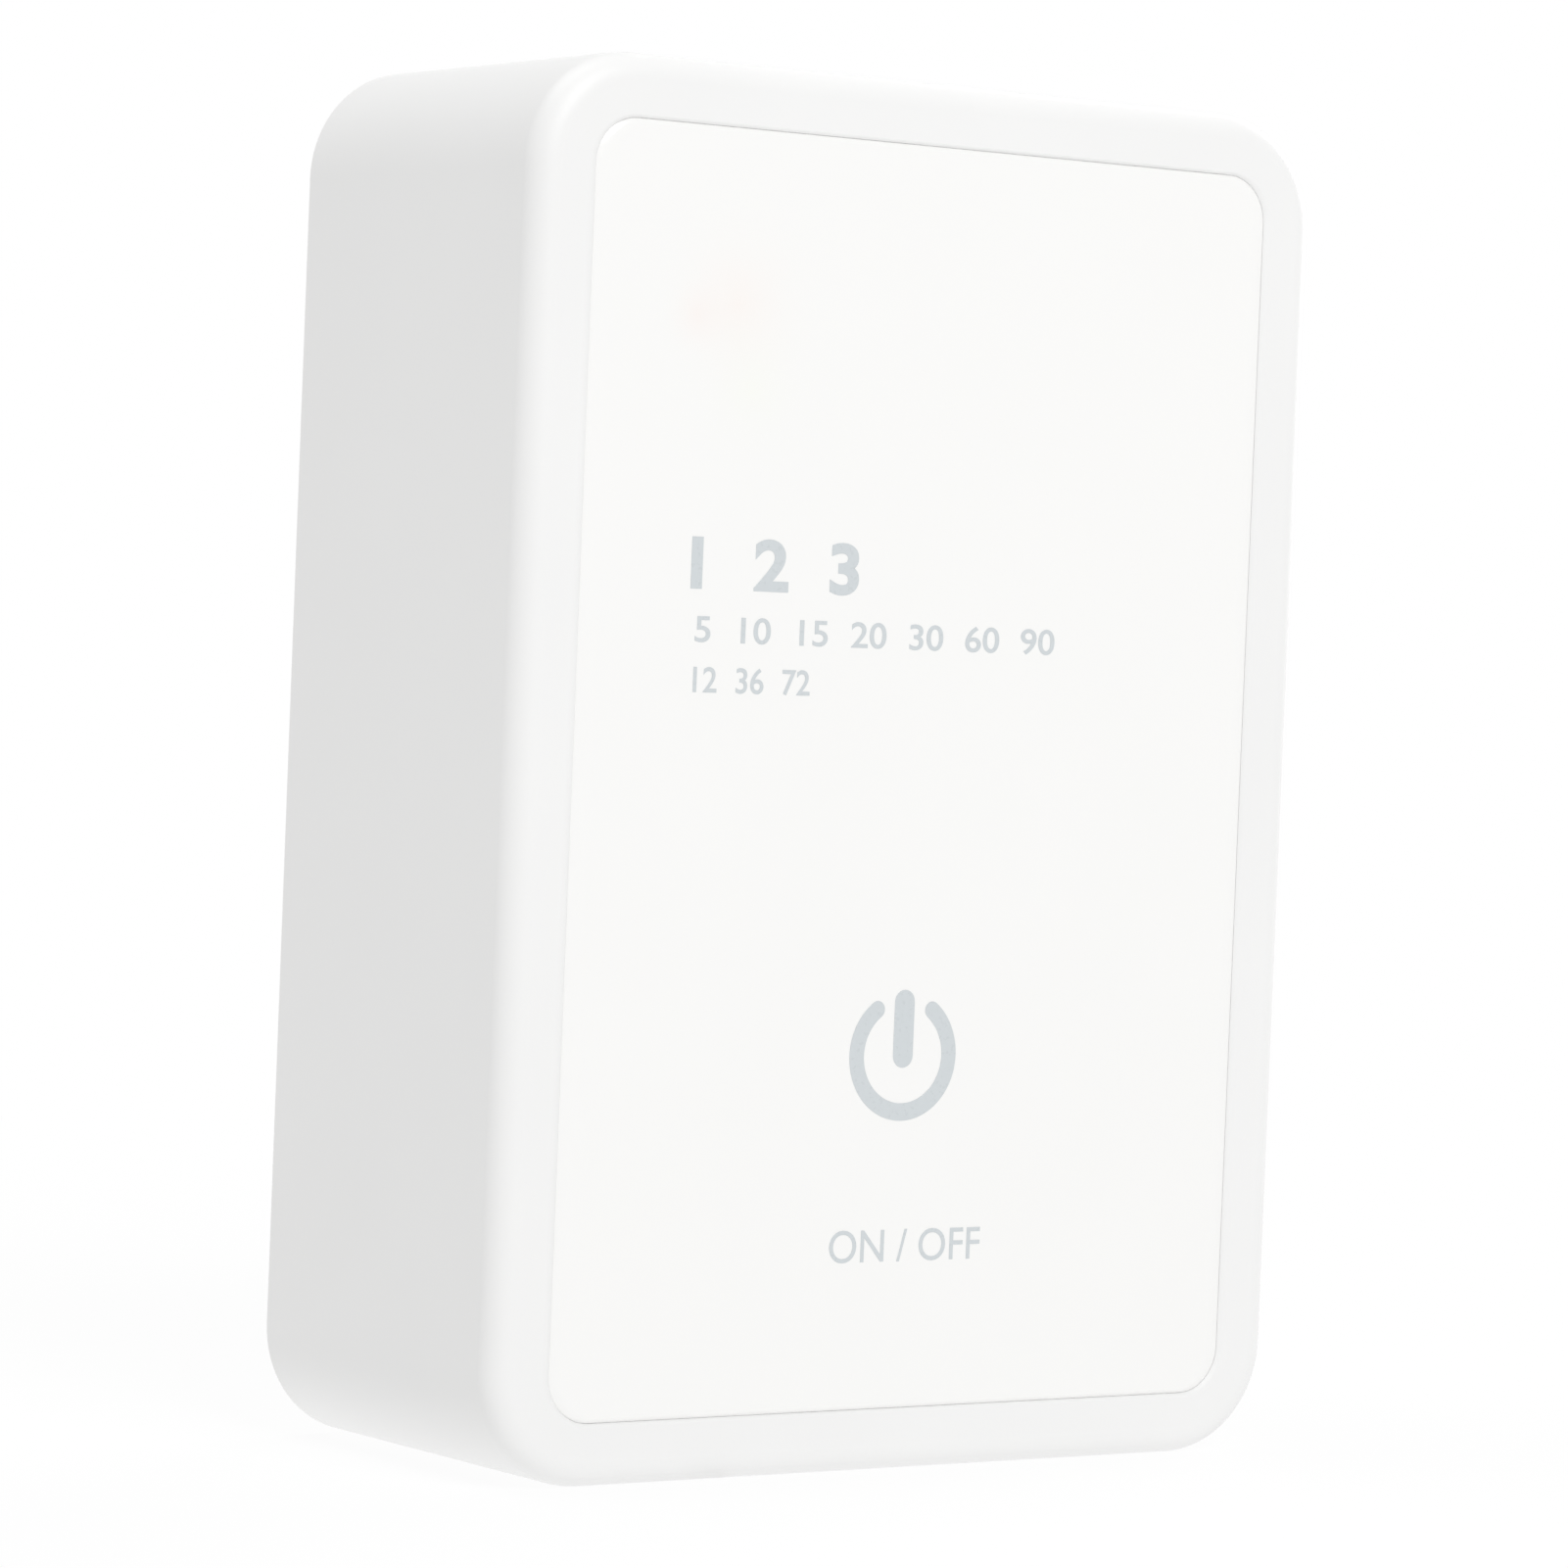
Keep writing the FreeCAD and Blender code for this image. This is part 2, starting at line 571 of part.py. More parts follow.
def front_panel():
    """Clear plate with a fine chamfer round its face."""
    plate = slab(PANEL_WIDTH, PANEL_HEIGHT, PANEL_CORNER, FRONT_Y, PANEL_BACK_Y)
    return plate.makeChamfer(PANEL_CHAMFER, edges_at(plate, FRONT_Y))


def panel_tape():
    """Adhesive frame behind the panel's edge."""
    frame = slab(PANEL_WIDTH, PANEL_HEIGHT, PANEL_CORNER, PANEL_BACK_Y, TAPE_BACK_Y)
    window = slab(PANEL_WIDTH - 2 * TAPE_WIDTH, PANEL_HEIGHT - 2 * TAPE_WIDTH, PANEL_CORNER,
                  PANEL_BACK_Y, TAPE_BACK_Y)
    return frame.cut(window)


def cover_ribs():
    """Pump clamps and cell cradles that stand up from the cover's inner face."""
    root_y = COVER_Y + COVER_THICKNESS / 2
    seat = rod_x(PUMP_RADIUS, CUSHION_BOTTOM_X, CUSHION_TOP_X)
    ribs = []
    for x in SADDLE_XS:
        clamp = block(x - SADDLE_THICKNESS / 2, x + SADDLE_THICKNESS / 2, COVER_Y - CLAMP_DEPTH, root_y,
                      PUMP_Z - CLAMP_HALF_HEIGHT, PUMP_Z + CLAMP_HALF_HEIGHT)
        ribs.append(clamp.cut(seat))
    cell = rod_x(CELL_RADIUS + CRADLE_GAP, -CELL_END, CELL_END, CELL_Y, CELL_Z)
    reach = CELL_RADIUS + CRADLE_GAP + CRADLE_WALL
    for x in (-CRADLE_SPACING / 2, CRADLE_SPACING / 2):
        cradle = block(x - CRADLE_THICKNESS / 2, x + CRADLE_THICKNESS / 2, CELL_Y, root_y,
                       CELL_Z - reach, CELL_Z + reach)
        ribs.append(cradle.cut(cell))
    return ribs


def cover_hooks():
    """Two hooks that reach under the pump and bite into the case's bottom wall."""
    hooks = []
    for x in (-HOOK_SPACING / 2, HOOK_SPACING / 2):
        arm = block(x - HOOK_WIDTH / 2, x + HOOK_WIDTH / 2, COVER_Y - HOOK_REACH,
                    COVER_Y + COVER_THICKNESS / 2, INNER_BOTTOM + HOOK_GAP,
                    INNER_BOTTOM + HOOK_GAP + HOOK_THICKNESS)
        lip = block(x - HOOK_WIDTH / 2, x + HOOK_WIDTH / 2, COVER_Y - HOOK_REACH,
                    COVER_Y - HOOK_REACH + HOOK_LIP, INNER_BOTTOM - HOOK_BITE,
                    INNER_BOTTOM + HOOK_GAP + HOOK_THICKNESS)
        hooks.append(arm.fuse(lip))
    return hooks


def keyhole(x):
    """Round entry with a narrow slot above it."""
    entry = rod_y(KEYHOLE_HEAD_RADIUS, COVER_Y, REAR_Y, x, KEYHOLE_Z)
    slot = block(x - KEYHOLE_SLOT_RADIUS, x + KEYHOLE_SLOT_RADIUS, COVER_Y, REAR_Y,
                 KEYHOLE_Z, KEYHOLE_Z + KEYHOLE_RISE)
    return entry.fuse([slot, rod_y(KEYHOLE_SLOT_RADIUS, COVER_Y, REAR_Y, x, KEYHOLE_Z + KEYHOLE_RISE)])


def rear_cover():
    """Flush back plate, hooked at the bottom and screwed at its top corners."""
    inset = REAR_RIM + COVER_GAP
    plate = slab(CASE_WIDTH - 2 * inset, CASE_HEIGHT - 2 * inset, CASE_CORNER - inset, COVER_Y, REAR_Y)
    plate = plate.fuse(cover_ribs() + cover_hooks()).removeSplitter()
    cuts = [keyhole(x) for x in (-KEYHOLE_SPACING / 2, KEYHOLE_SPACING / 2)]
    return plate.cut(cuts + [countersunk(x, z) for x, z in COVER_SCREWS])


def cover_screws():
    """Two flat-headed screws."""
    return Part.makeCompound([countersunk(x, z) for x, z in COVER_SCREWS])


def nozzle_grommets():
    """Two rubber grommets that fill the nozzle holes in the right wall."""
    bore = NOZZLE_ROOT_RADIUS + GROMMET_GAP
    outer_x = CASE_WIDTH / 2
    profile = [(HEAD_X, bore), (HEAD_X, GROMMET_FLANGE_RADIUS), (INNER_X, GROMMET_FLANGE_RADIUS),
               (INNER_X, GROMMET_NECK_RADIUS), (outer_x, GROMMET_NECK_RADIUS),
               (outer_x, GROMMET_FLANGE_RADIUS), (outer_x + GROMMET_FLANGE, GROMMET_FLANGE_RADIUS),
               (outer_x + GROMMET_FLANGE, bore)]
    return Part.makeCompound([spun_x(profile, PUMP_Y, z) for z in (PUMP_Z, INLET_Z)])


def nozzle(z):
    """Barbed hose stub, without its bore."""
    stub = rod_x(NOZZLE_ROOT_RADIUS, HEAD_X - HEAD_FLOOR / 2, NOZZLE_START_X, PUMP_Y, z)
    barbs = []
    x = NOZZLE_START_X
    for _ in range(BARB_COUNT):
        barbs.append(rod_x(NOZZLE_CREST_RADIUS, x, x + BARB_LAND, PUMP_Y, z))
        crest = outline_x(NOZZLE_CREST_RADIUS, x + BARB_LAND, PUMP_Y, z)
        x += BARB_LAND + BARB_SLOPE
        barbs.append(tapered(crest, outline_x(NOZZLE_TIP_RADIUS, x, PUMP_Y, z)))
    return stub.fuse(barbs)


def clip_grooves(x0, x1):
    """Flats along both sides of the pump for the spring clips."""
    flat = PUMP_RADIUS - CLIP_FLAT
    width = CLIP_WIDTH + 2 * CLIP_GAP
    return [radial(x0, x1, flat, PUMP_RADIUS + CLIP_FLAT, width, angle) for angle in (0, 180)]


def clip_seats(x0, x1):
    """Shallow seats in an end face for the clips' hooked ends."""
    inner = PUMP_RADIUS - CLIP_FLAT - CLIP_HOOK - CLIP_GAP
    width = CLIP_WIDTH + 2 * CLIP_GAP
    return [radial(x0, x1, inner, PUMP_RADIUS, width, angle) for angle in (0, 180)]


def pump_clips():
    """Two steel clips that hook over the head and under the base."""
    flat = PUMP_RADIUS - CLIP_FLAT
    clips = []
    for angle in (0, 180):
        strap = radial(MOTOR_X, HEAD_X, flat, flat + CLIP_THICKNESS, CLIP_WIDTH, angle)
        hooks = [radial(x, x + CLIP_THICKNESS, flat - CLIP_HOOK, flat, CLIP_WIDTH, angle)
                 for x in (MOTOR_X, HEAD_X - CLIP_THICKNESS)]
        clips.append(strap.fuse(hooks).removeSplitter())
    return Part.makeCompound(clips)


def pump_head():
    """Cap with a middle outlet chamber, a ring-shaped inlet chamber and two nozzles."""
    roof_x = HEAD_X - HEAD_FLOOR
    cap = rod_x(PUMP_RADIUS, VALVE_PLATE_X, HEAD_X)
    ring = tube_x(PUMP_RADIUS - HEAD_WALL, OUTLET_CHAMBER_RADIUS + CHAMBER_WALL, VALVE_PLATE_X, roof_x)
    cap = cap.cut([ring, rod_x(OUTLET_CHAMBER_RADIUS, VALVE_PLATE_X, roof_x)])
    cap = cap.fuse([nozzle(PUMP_Z), nozzle(INLET_Z)])
    tip_x = NOZZLE_START_X + BARB_COUNT * (BARB_LAND + BARB_SLOPE)
    bores = [rod_x(NOZZLE_BORE_RADIUS, roof_x, tip_x, PUMP_Y, z) for z in (PUMP_Z, INLET_Z)]
    return cap.cut(bores + clip_grooves(VALVE_PLATE_X, HEAD_X)
                   + clip_seats(HEAD_X - CLIP_THICKNESS, HEAD_X))


def outlet_valve():
    """Rubber umbrella over the three outlet ports, held by its stem."""
    disc = rod_x(UMBRELLA_RADIUS, VALVE_PLATE_X, VALVE_PLATE_X + UMBRELLA_THICKNESS)
    return disc.fuse(rod_x(UMBRELLA_STEM_RADIUS, SHEET_X + UMBRELLA_STEM_GAP, VALVE_PLATE_X))


def valve_plate():
    """Plate with an outlet port and an inlet port over each cup."""
    plate = rod_x(PUMP_RADIUS, SHEET_X, VALVE_PLATE_X)
    cuts = clip_grooves(SHEET_X, VALVE_PLATE_X)
    cuts.append(rod_x(UMBRELLA_STEM_RADIUS, SHEET_X, VALVE_PLATE_X))
    for angle in CUP_ANGLES:
        for circle in (OUTLET_PORT_CIRCLE, INLET_PORT_CIRCLE):
            cuts.append(radial(SHEET_X, VALVE_PLATE_X, circle - PORT_LENGTH / 2,
                               circle + PORT_LENGTH / 2, PORT_WIDTH, angle))
        cuts.append(flap_part(SHEET_X, VALVE_PLATE_X, FLAP_STEM, angle))
    return plate.cut(cuts)


def flap_part(x0, x1, size, angle):
    """Square stretch of a flap's stem."""
    return radial(x0, x1, FLAP_STEM_CIRCLE - size / 2, FLAP_STEM_CIRCLE + size / 2, size, angle)


def inlet_valves():
    """Three rubber flaps under the valve plate, each held by a barbed stem."""
    flaps = []
    for angle in CUP_ANGLES:
        flap = radial(SHEET_X - FLAP_THICKNESS, SHEET_X, FLAP_INNER_CIRCLE, FLAP_OUTER_CIRCLE,
                      FLAP_WIDTH, angle)
        stem = flap_part(SHEET_X - FLAP_THICKNESS, VALVE_PLATE_X, FLAP_STEM, angle)
        barb = flap_part(VALVE_PLATE_X, VALVE_PLATE_X + FLAP_BARB_RISE, FLAP_BARB, angle)
        flaps.append(flap.fuse([stem, barb]).removeSplitter())
    return Part.makeCompound(flaps)


def bell(top_radius, top_x, foot_radius, foot_x, angle):
    """Flexing wall of a cup, from a level ring down to a ring that leans with the yoke."""
    y, z = around(CUP_CIRCLE, angle)
    turn = FreeCAD.Rotation(ALONG_Y, WOBBLE_ANGLE)
    foot = [WOBBLE_CENTRE + turn.multVec(corner - WOBBLE_CENTRE)
            for corner in outline_x(foot_radius, foot_x, y, z)]
    return tapered(foot, outline_x(top_radius, top_x, y, z))


def diaphragm():
    """Rubber sheet with three cups, each pulled by a stem through an arm of the yoke."""
    sheet = rod_x(PUMP_RADIUS - SHEET_MARGIN, SEAT_X, SHEET_X)
    walls = []
    stems = []
    hollows = []
    for angle in CUP_ANGLES:
        y, z = around(CUP_CIRCLE, angle)
        walls.append(bell(CUP_TOP_RADIUS, SHEET_X - SHEET_THICKNESS / 2, CUP_FOOT_RADIUS, CUP_FOOT_X,
                          angle))
        bulb = tapered(outline_x(STEM_RADIUS, YOKE_BOTTOM_X - BULB_LENGTH, y, z),
                       outline_x(BULB_RADIUS, YOKE_BOTTOM_X, y, z))
        stem = rod_x(STEM_RADIUS, YOKE_BOTTOM_X, CUP_FOOT_X + CUP_FOOT_THICKNESS / 2, y, z)
        stems += [lean(bulb), lean(stem)]
        hollows.append(bell(CUP_TOP_RADIUS - CUP_SKIN, SHEET_X, CUP_FOOT_RADIUS - CUP_SKIN,
                            CUP_FOOT_X + CUP_FOOT_THICKNESS, angle))
    rubber = sheet.fuse(walls + stems)
    return rubber.cut(hollows + clip_grooves(SEAT_X, SHEET_X))


def diaphragm_seat():
    """Ring with a clover-shaped opening that clamps the sheet between the cups."""
    seat = rod_x(PUMP_RADIUS, BASE_X, SEAT_X)
    bore = CUP_TOP_RADIUS + CUP_BORE_CLEARANCE
    cuts = [rod_x(bore, BASE_X, SEAT_X, *around(CUP_CIRCLE, a)) for a in CUP_ANGLES]
    cuts.append(rod_x(CLOVER_CENTRE_RADIUS, BASE_X, SEAT_X))
    return seat.cut(cuts + clip_grooves(BASE_X, SEAT_X))


def wobble_yoke():
    """Three arms round a blind post that rides on the eccentric pin."""
    yoke = rod_x(YOKE_POST_RADIUS, YOKE_BOTTOM_X, YOKE_BORE_TOP_X + YOKE_POST_ROOF)
    holes = [rod_x(PIN_RADIUS + PIN_CLEARANCE, YOKE_BOTTOM_X, YOKE_BORE_TOP_X)]
    for angle in CUP_ANGLES:
        y, z = around(CUP_CIRCLE, angle)
        arm = radial(YOKE_BOTTOM_X, CUP_FOOT_X, 0, CUP_CIRCLE, YOKE_ARM_WIDTH, angle)
        yoke = yoke.fuse([arm, rod_x(CUP_FOOT_RADIUS, YOKE_BOTTOM_X, CUP_FOOT_X, y, z)])
        holes.append(rod_x(STEM_RADIUS + STEM_GAP, YOKE_BOTTOM_X, CUP_FOOT_X, y, z))
    return lean(yoke.removeSplitter().cut(holes))


def eccentric_pin():
    """Steel pin that leans through the wobble centre."""
    return lean(rod_x(PIN_RADIUS, PIN_BOTTOM_X, PIN_TOP_X))


def eccentric_hub():
    """Drum pressed on the motor's shaft, with the leaning pin in its top."""
    drum = rod_x(HUB_RADIUS, HUB_BOTTOM_X, HUB_TOP_X)
    pin_hole = lean(rod_x(PIN_RADIUS, PIN_BOTTOM_X, PIN_TOP_X))
    return drum.cut([rod_x(SHAFT_RADIUS, HUB_BOTTOM_X, SHAFT_TOP_X), pin_hole])


def pump_base():
    """Cup that joins the pump to the motor."""
    floor_x = MOTOR_X + BASE_FLOOR
    cup = rod_x(PUMP_RADIUS, MOTOR_X, BASE_X).cut(rod_x(PUMP_RADIUS - BASE_WALL, floor_x, BASE_X))
    holes = [rod_x(MOTOR_BOSS_RADIUS + SCREW_CLEARANCE, MOTOR_X, floor_x)]
    holes += [rod_x(MOTOR_SCREW_RADIUS + SCREW_CLEARANCE, MOTOR_X, floor_x,
                    *around(MOTOR_SCREW_CIRCLE, a)) for a in (0, 180)]
    return cup.cut(holes + clip_grooves(MOTOR_X, BASE_X) + clip_seats(MOTOR_X, MOTOR_X + CLIP_THICKNESS))


def motor_can():
    """Drawn steel can with a boss for the front bush and two tapped holes."""
    shell = rod_x(MOTOR_RADIUS, CAN_END_X, MOTOR_X)
    shell = shell.cut(rod_x(MAGNET_RADIUS, CAN_END_X, MOTOR_X - CAN_THICKNESS))
    shell = shell.fuse(rod_x(MOTOR_BOSS_RADIUS, MOTOR_X - CAN_THICKNESS, MOTOR_X + MOTOR_BOSS_LENGTH))
    holes = [rod_x(BUSH_RADIUS, MOTOR_X - CAN_THICKNESS, MOTOR_X + MOTOR_BOSS_LENGTH)]
    holes += [rod_x(MOTOR_SCREW_RADIUS, MOTOR_X - CAN_THICKNESS, MOTOR_X,
                    *around(MOTOR_SCREW_CIRCLE, a)) for a in (0, 180)]
    return shell.removeSplitter().cut(holes)


def motor_end_cap():
    """Moulded cap inside the can's open end, with a boss for the rear bush."""
    cap = rod_x(MAGNET_RADIUS, CAN_END_X, END_CAP_X)
    cap = cap.fuse(rod_x(END_BOSS_RADIUS, END_BOSS_X, CAN_END_X)).removeSplitter()
    cuts = [rod_x(BUSH_RADIUS, END_BOSS_X + CAN_THICKNESS / 2, END_CAP_X)]
    return cap.cut(cuts + [terminal_slot(side) for side in (-1, 1)])


def terminal_slot(side):
    """Space that one terminal fills in the end cap and outside it."""
    z = PUMP_Z + side * TERMINAL_SPACING / 2
    return block(CAN_END_X - TERMINAL_LENGTH, END_CAP_X, PUMP_Y - TERMINAL_WIDTH / 2,
                 PUMP_Y + TERMINAL_WIDTH / 2, z - TERMINAL_THICKNESS / 2, z + TERMINAL_THICKNESS / 2)


def motor_terminals():
    """Two brass blades through the end cap."""
    return Part.makeCompound([terminal_slot(side) for side in (-1, 1)])


def motor_magnets():
    """Two arc magnets against the can's wall."""
    ring = tube_x(MAGNET_RADIUS, MAGNET_RADIUS - MAGNET_THICKNESS,
                  CORE_TOP_X + (CORE_LENGTH - MAGNET_LENGTH) / 2 - CORE_LENGTH,
                  CORE_TOP_X - (CORE_LENGTH - MAGNET_LENGTH) / 2)
    return Part.makeCompound([ring.common(sector(angle, MAGNET_ANGLE)) for angle in (0, 180)])


def sector(angle, width):
    """Wedge about the pump's axis that is wider than the motor and centred on an angle."""
    start = math.radians(angle - width / 2)
    foot = Vector(CAN_END_X, PUMP_Y, PUMP_Z)
    edge = foot + Vector(0, math.cos(start), math.sin(start)) * (2 * MOTOR_RADIUS)
    face = Part.makeLine(foot, edge).extrude(Vector(CAN_LENGTH, 0, 0))
    return face.revolve(foot, ALONG_X, width)


def motor_bushes():
    """Sintered bushes at both ends of the motor."""
    bore = SHAFT_RADIUS + SHAFT_CLEARANCE
    front = tube_x(BUSH_RADIUS, bore, MOTOR_X - CAN_THICKNESS, MOTOR_X + MOTOR_BOSS_LENGTH)
    rear = tube_x(BUSH_RADIUS, bore, END_BOSS_X + CAN_THICKNESS / 2, END_CAP_X)
    return Part.makeCompound([front, rear])


def motor_brushes():
    """Two brushes on spring arms that stand on the end cap."""
    brushes = []
    middle_x = (COMMUTATOR_TOP_X + COMMUTATOR_BOTTOM_X) / 2
    for side in (-1, 1):
        inner_z = PUMP_Z + side * (COMMUTATOR_RADIUS + BRUSH_GAP)
        outer_z = inner_z + side * BRUSH_SIZE
        arm_z = outer_z + side * BRUSH_ARM
        brush = block(middle_x - BRUSH_SIZE / 2, middle_x + BRUSH_SIZE / 2, PUMP_Y - BRUSH_SIZE / 2,
                      PUMP_Y + BRUSH_SIZE / 2, min(inner_z, outer_z), max(inner_z, outer_z))
        arm = block(END_CAP_X, middle_x + BRUSH_SIZE / 2, PUMP_Y - BRUSH_SIZE / 2,
                    PUMP_Y + BRUSH_SIZE / 2, min(outer_z, arm_z), max(outer_z, arm_z))
        brushes.append(brush.fuse(arm).removeSplitter())
    return Part.makeCompound(brushes)


def motor_shaft():
    """Steel shaft from the rear bush to the eccentric hub."""
    return rod_x(SHAFT_RADIUS, SHAFT_BOTTOM_X, SHAFT_TOP_X)


def armature_core():
    """Three-pole laminated core."""
    core = rod_x(CORE_HUB_RADIUS, CORE_BOTTOM_X, CORE_TOP_X)
    shoe_ring = tube_x(CORE_RADIUS, CORE_RADIUS - SHOE_THICKNESS, CORE_BOTTOM_X, CORE_TOP_X)
    for angle in CUP_ANGLES:
        web = radial(CORE_BOTTOM_X, CORE_TOP_X, 0, CORE_RADIUS - SHOE_THICKNESS / 2, CORE_WEB, angle)
        core = core.fuse([web, shoe_ring.common(sector(angle, SHOE_ANGLE))])
    return core.removeSplitter().cut(rod_x(SHAFT_RADIUS, CORE_BOTTOM_X, CORE_TOP_X))


def armature_windings():
    """Three coils, one round each pole's web."""
    outer = math.sqrt(UNDER_SHOE_RADIUS ** 2 - (WINDING_WIDTH / 2) ** 2)
    coils = []
    for angle in CUP_ANGLES:
        coil = radial(CORE_BOTTOM_X - WINDING_OVERHANG, CORE_TOP_X + WINDING_OVERHANG, COIL_INNER_RADIUS,
                      outer, WINDING_WIDTH, angle)
        coils.append(coil.cut(radial(CORE_BOTTOM_X, CORE_TOP_X, 0, CORE_RADIUS, CORE_WEB, angle)))
    return Part.makeCompound(coils)


def commutator():
    """Three copper segments round the shaft."""
    ring = tube_x(COMMUTATOR_RADIUS, SHAFT_RADIUS, COMMUTATOR_BOTTOM_X, COMMUTATOR_TOP_X)
    slits = [radial(COMMUTATOR_BOTTOM_X, COMMUTATOR_TOP_X, 0, MOTOR_RADIUS, SEGMENT_SLIT, a + 180)
             for a in CUP_ANGLES]
    return Part.makeCompound(ring.cut(slits).Solids)


def motor_screws():
    """Two screws that hold the pump's base to the motor."""
    screws = []
    floor_x = MOTOR_X + BASE_FLOOR
    for angle in (0, 180):
        profile = [(MOTOR_X - MOTOR_SCREW_BITE, 0.0), (MOTOR_X - MOTOR_SCREW_BITE, MOTOR_SCREW_RADIUS),
                   (floor_x, MOTOR_SCREW_RADIUS), (floor_x, MOTOR_HEAD_RADIUS),
                   (floor_x + MOTOR_HEAD_DEPTH, MOTOR_HEAD_RADIUS), (floor_x + MOTOR_HEAD_DEPTH, 0.0)]
        screws.append(spun_x(profile, *around(MOTOR_SCREW_CIRCLE, angle)))
    return Part.makeCompound(screws)


def motor_cushion():
    """Rubber sleeve between the motor and the case's saddles."""
    return tube_x(PUMP_RADIUS, MOTOR_RADIUS, CUSHION_BOTTOM_X, CUSHION_TOP_X)


def circuit_board():
    """Board behind the panel, from under the touch key up to the top ribs."""
    board = slab(2 * BOARD_HALF, BOARD_TOP - BOARD_BOTTOM, BOARD_CORNER, BOARD_FRONT_Y, BOARD_BACK_Y,
                 z=(BOARD_TOP + BOARD_BOTTOM) / 2)
    return board.cut([rod_y(BOARD_SCREW_RADIUS + SCREW_CLEARANCE, BOARD_FRONT_Y, BOARD_BACK_Y, x, z)
                      for x, z in SCREWED_POSTS])


def board_screws():
    """Two pan-headed screws into the round posts."""
    screws = []
    for x, z in SCREWED_POSTS:
        head = rod_y(BOARD_HEAD_RADIUS, BOARD_BACK_Y, BOARD_BACK_Y + BOARD_HEAD_DEPTH, x, z)
        screws.append(head.fuse(rod_y(BOARD_SCREW_RADIUS, BOARD_FRONT_Y - BOARD_SCREW_BITE,
                                      BOARD_BACK_Y, x, z)))
    return Part.makeCompound(screws)


def on_board(x, z, width, height, rise, y=BOARD_BACK_Y):
    """Flat block on the board's back, centred at x and z."""
    return block(x - width / 2, x + width / 2, y, y + rise, z - height / 2, z + height / 2)


def wifi_module():
    """Small board that carries the radio."""
    return on_board(MODULE_SHIFT, MODULE_TOP - MODULE_HEIGHT / 2, MODULE_WIDTH, MODULE_HEIGHT,
                    MODULE_THICKNESS)


def module_shield():
    """Pressed metal can over the radio."""
    z = MODULE_BOTTOM + SHIELD_FROM_FOOT + SHIELD_HEIGHT / 2
    return on_board(MODULE_SHIFT, z, SHIELD_WIDTH, SHIELD_HEIGHT, SHIELD_RISE, MODULE_BACK_Y)


def usb_body(inset, x0, x1):
    """Rounded bar in line with the socket, smaller than its shell by an inset."""
    half = USB_THICKNESS / 2 - inset
    reach = USB_WIDTH / 2 - inset - half
    middle = block(x0, x1, USB_Y - half, USB_Y + half, USB_Z - reach, USB_Z + reach)
    return middle.fuse([rod_x(half, x0, x1, USB_Y, USB_Z + side * reach)
                        for side in (-1, 1)]).removeSplitter()


def usb_shell():
    """Metal shell of the charging socket."""
    return usb_body(0, USB_BACK_X, USB_MOUTH_X).cut(usb_body(USB_SKIN, USB_BACK_X, USB_MOUTH_X))


def usb_tongue():
    """Insulator that closes the shell's back and carries the contacts."""
    root_x = USB_BACK_X + USB_BACK_WALL
    plug = usb_body(USB_SKIN, USB_BACK_X, root_x)
    tongue = block(root_x, root_x + USB_TONGUE_DEPTH, USB_Y - USB_TONGUE_THICKNESS / 2,
                   USB_Y + USB_TONGUE_THICKNESS / 2, USB_Z - USB_TONGUE_WIDTH / 2,
                   USB_Z + USB_TONGUE_WIDTH / 2)
    return plug.fuse(tongue).removeSplitter()


def touch_contact():
    """Conductive foam block that carries the touch signal from the panel to the board."""
    return squares_y(TOUCH_CONTACT_SIZE, PANEL_BACK_Y, BOARD_FRONT_Y, [(TOUCH_KEY_SHIFT, TOUCH_Z)])[0]


def status_leds():
    """Two lights on the board's front."""
    return Part.makeCompound([block(x - LED_LENGTH / 2, x + LED_LENGTH / 2, BOARD_FRONT_Y - LED_HEIGHT,
                                    BOARD_FRONT_Y, z - LED_WIDTH / 2, z + LED_WIDTH / 2)
                              for x, z in LEDS])


def light_shields():
    """Square foam tubes that keep each light to its own window."""
    outer = squares_y(WINDOW_SIZE + 2 * LIGHT_SHIELD_WALL, FLOOR_Y, BOARD_FRONT_Y, LEDS)
    inner = squares_y(WINDOW_SIZE, FLOOR_Y, BOARD_FRONT_Y, LEDS)
    return Part.makeCompound([tube.cut(bore) for tube, bore in zip(outer, inner)])


def board_chips():
    """Charger, voltage converter and motor switch."""
    return Part.makeCompound([on_board(shift, INNER_TOP - drop, *size)
                              for (shift, drop), size in zip(CHIP_PLACES, CHIP_SIZES)])


def storage_capacitor():
    """Can capacitor on its square base."""
    z = INNER_TOP - CAPACITOR_FROM_TOP
    base = on_board(CAPACITOR_SHIFT, z, CAPACITOR_BASE, CAPACITOR_BASE, CAPACITOR_BASE_HEIGHT)
    can = rod_y(CAPACITOR_RADIUS, BOARD_BACK_Y, BOARD_BACK_Y + CAPACITOR_HEIGHT, CAPACITOR_SHIFT, z)
    return base.fuse(can).removeSplitter()


def charge_inductor():
    """Square coil with a round top."""
    z = INNER_TOP - INDUCTOR_FROM_TOP
    base = on_board(INDUCTOR_SHIFT, z, INDUCTOR_SIZE, INDUCTOR_SIZE, INDUCTOR_HEIGHT / 2)
    top = rod_y(INDUCTOR_RADIUS, BOARD_BACK_Y, BOARD_BACK_Y + INDUCTOR_HEIGHT, INDUCTOR_SHIFT, z)
    return base.fuse(top).removeSplitter()


def connector(x, z):
    """Two-way plug housing with a step along its back."""
    body = on_board(x, z, CONNECTOR_WIDTH, CONNECTOR_HEIGHT, CONNECTOR_DEPTH)
    step = on_board(x, z + CONNECTOR_HEIGHT / 2, CONNECTOR_WIDTH - 2 * CONNECTOR_SKIN,
                    2 * CONNECTOR_SKIN, CONNECTOR_DEPTH, BOARD_BACK_Y + CONNECTOR_DEPTH - CONNECTOR_SKIN)
    return body.cut(step)


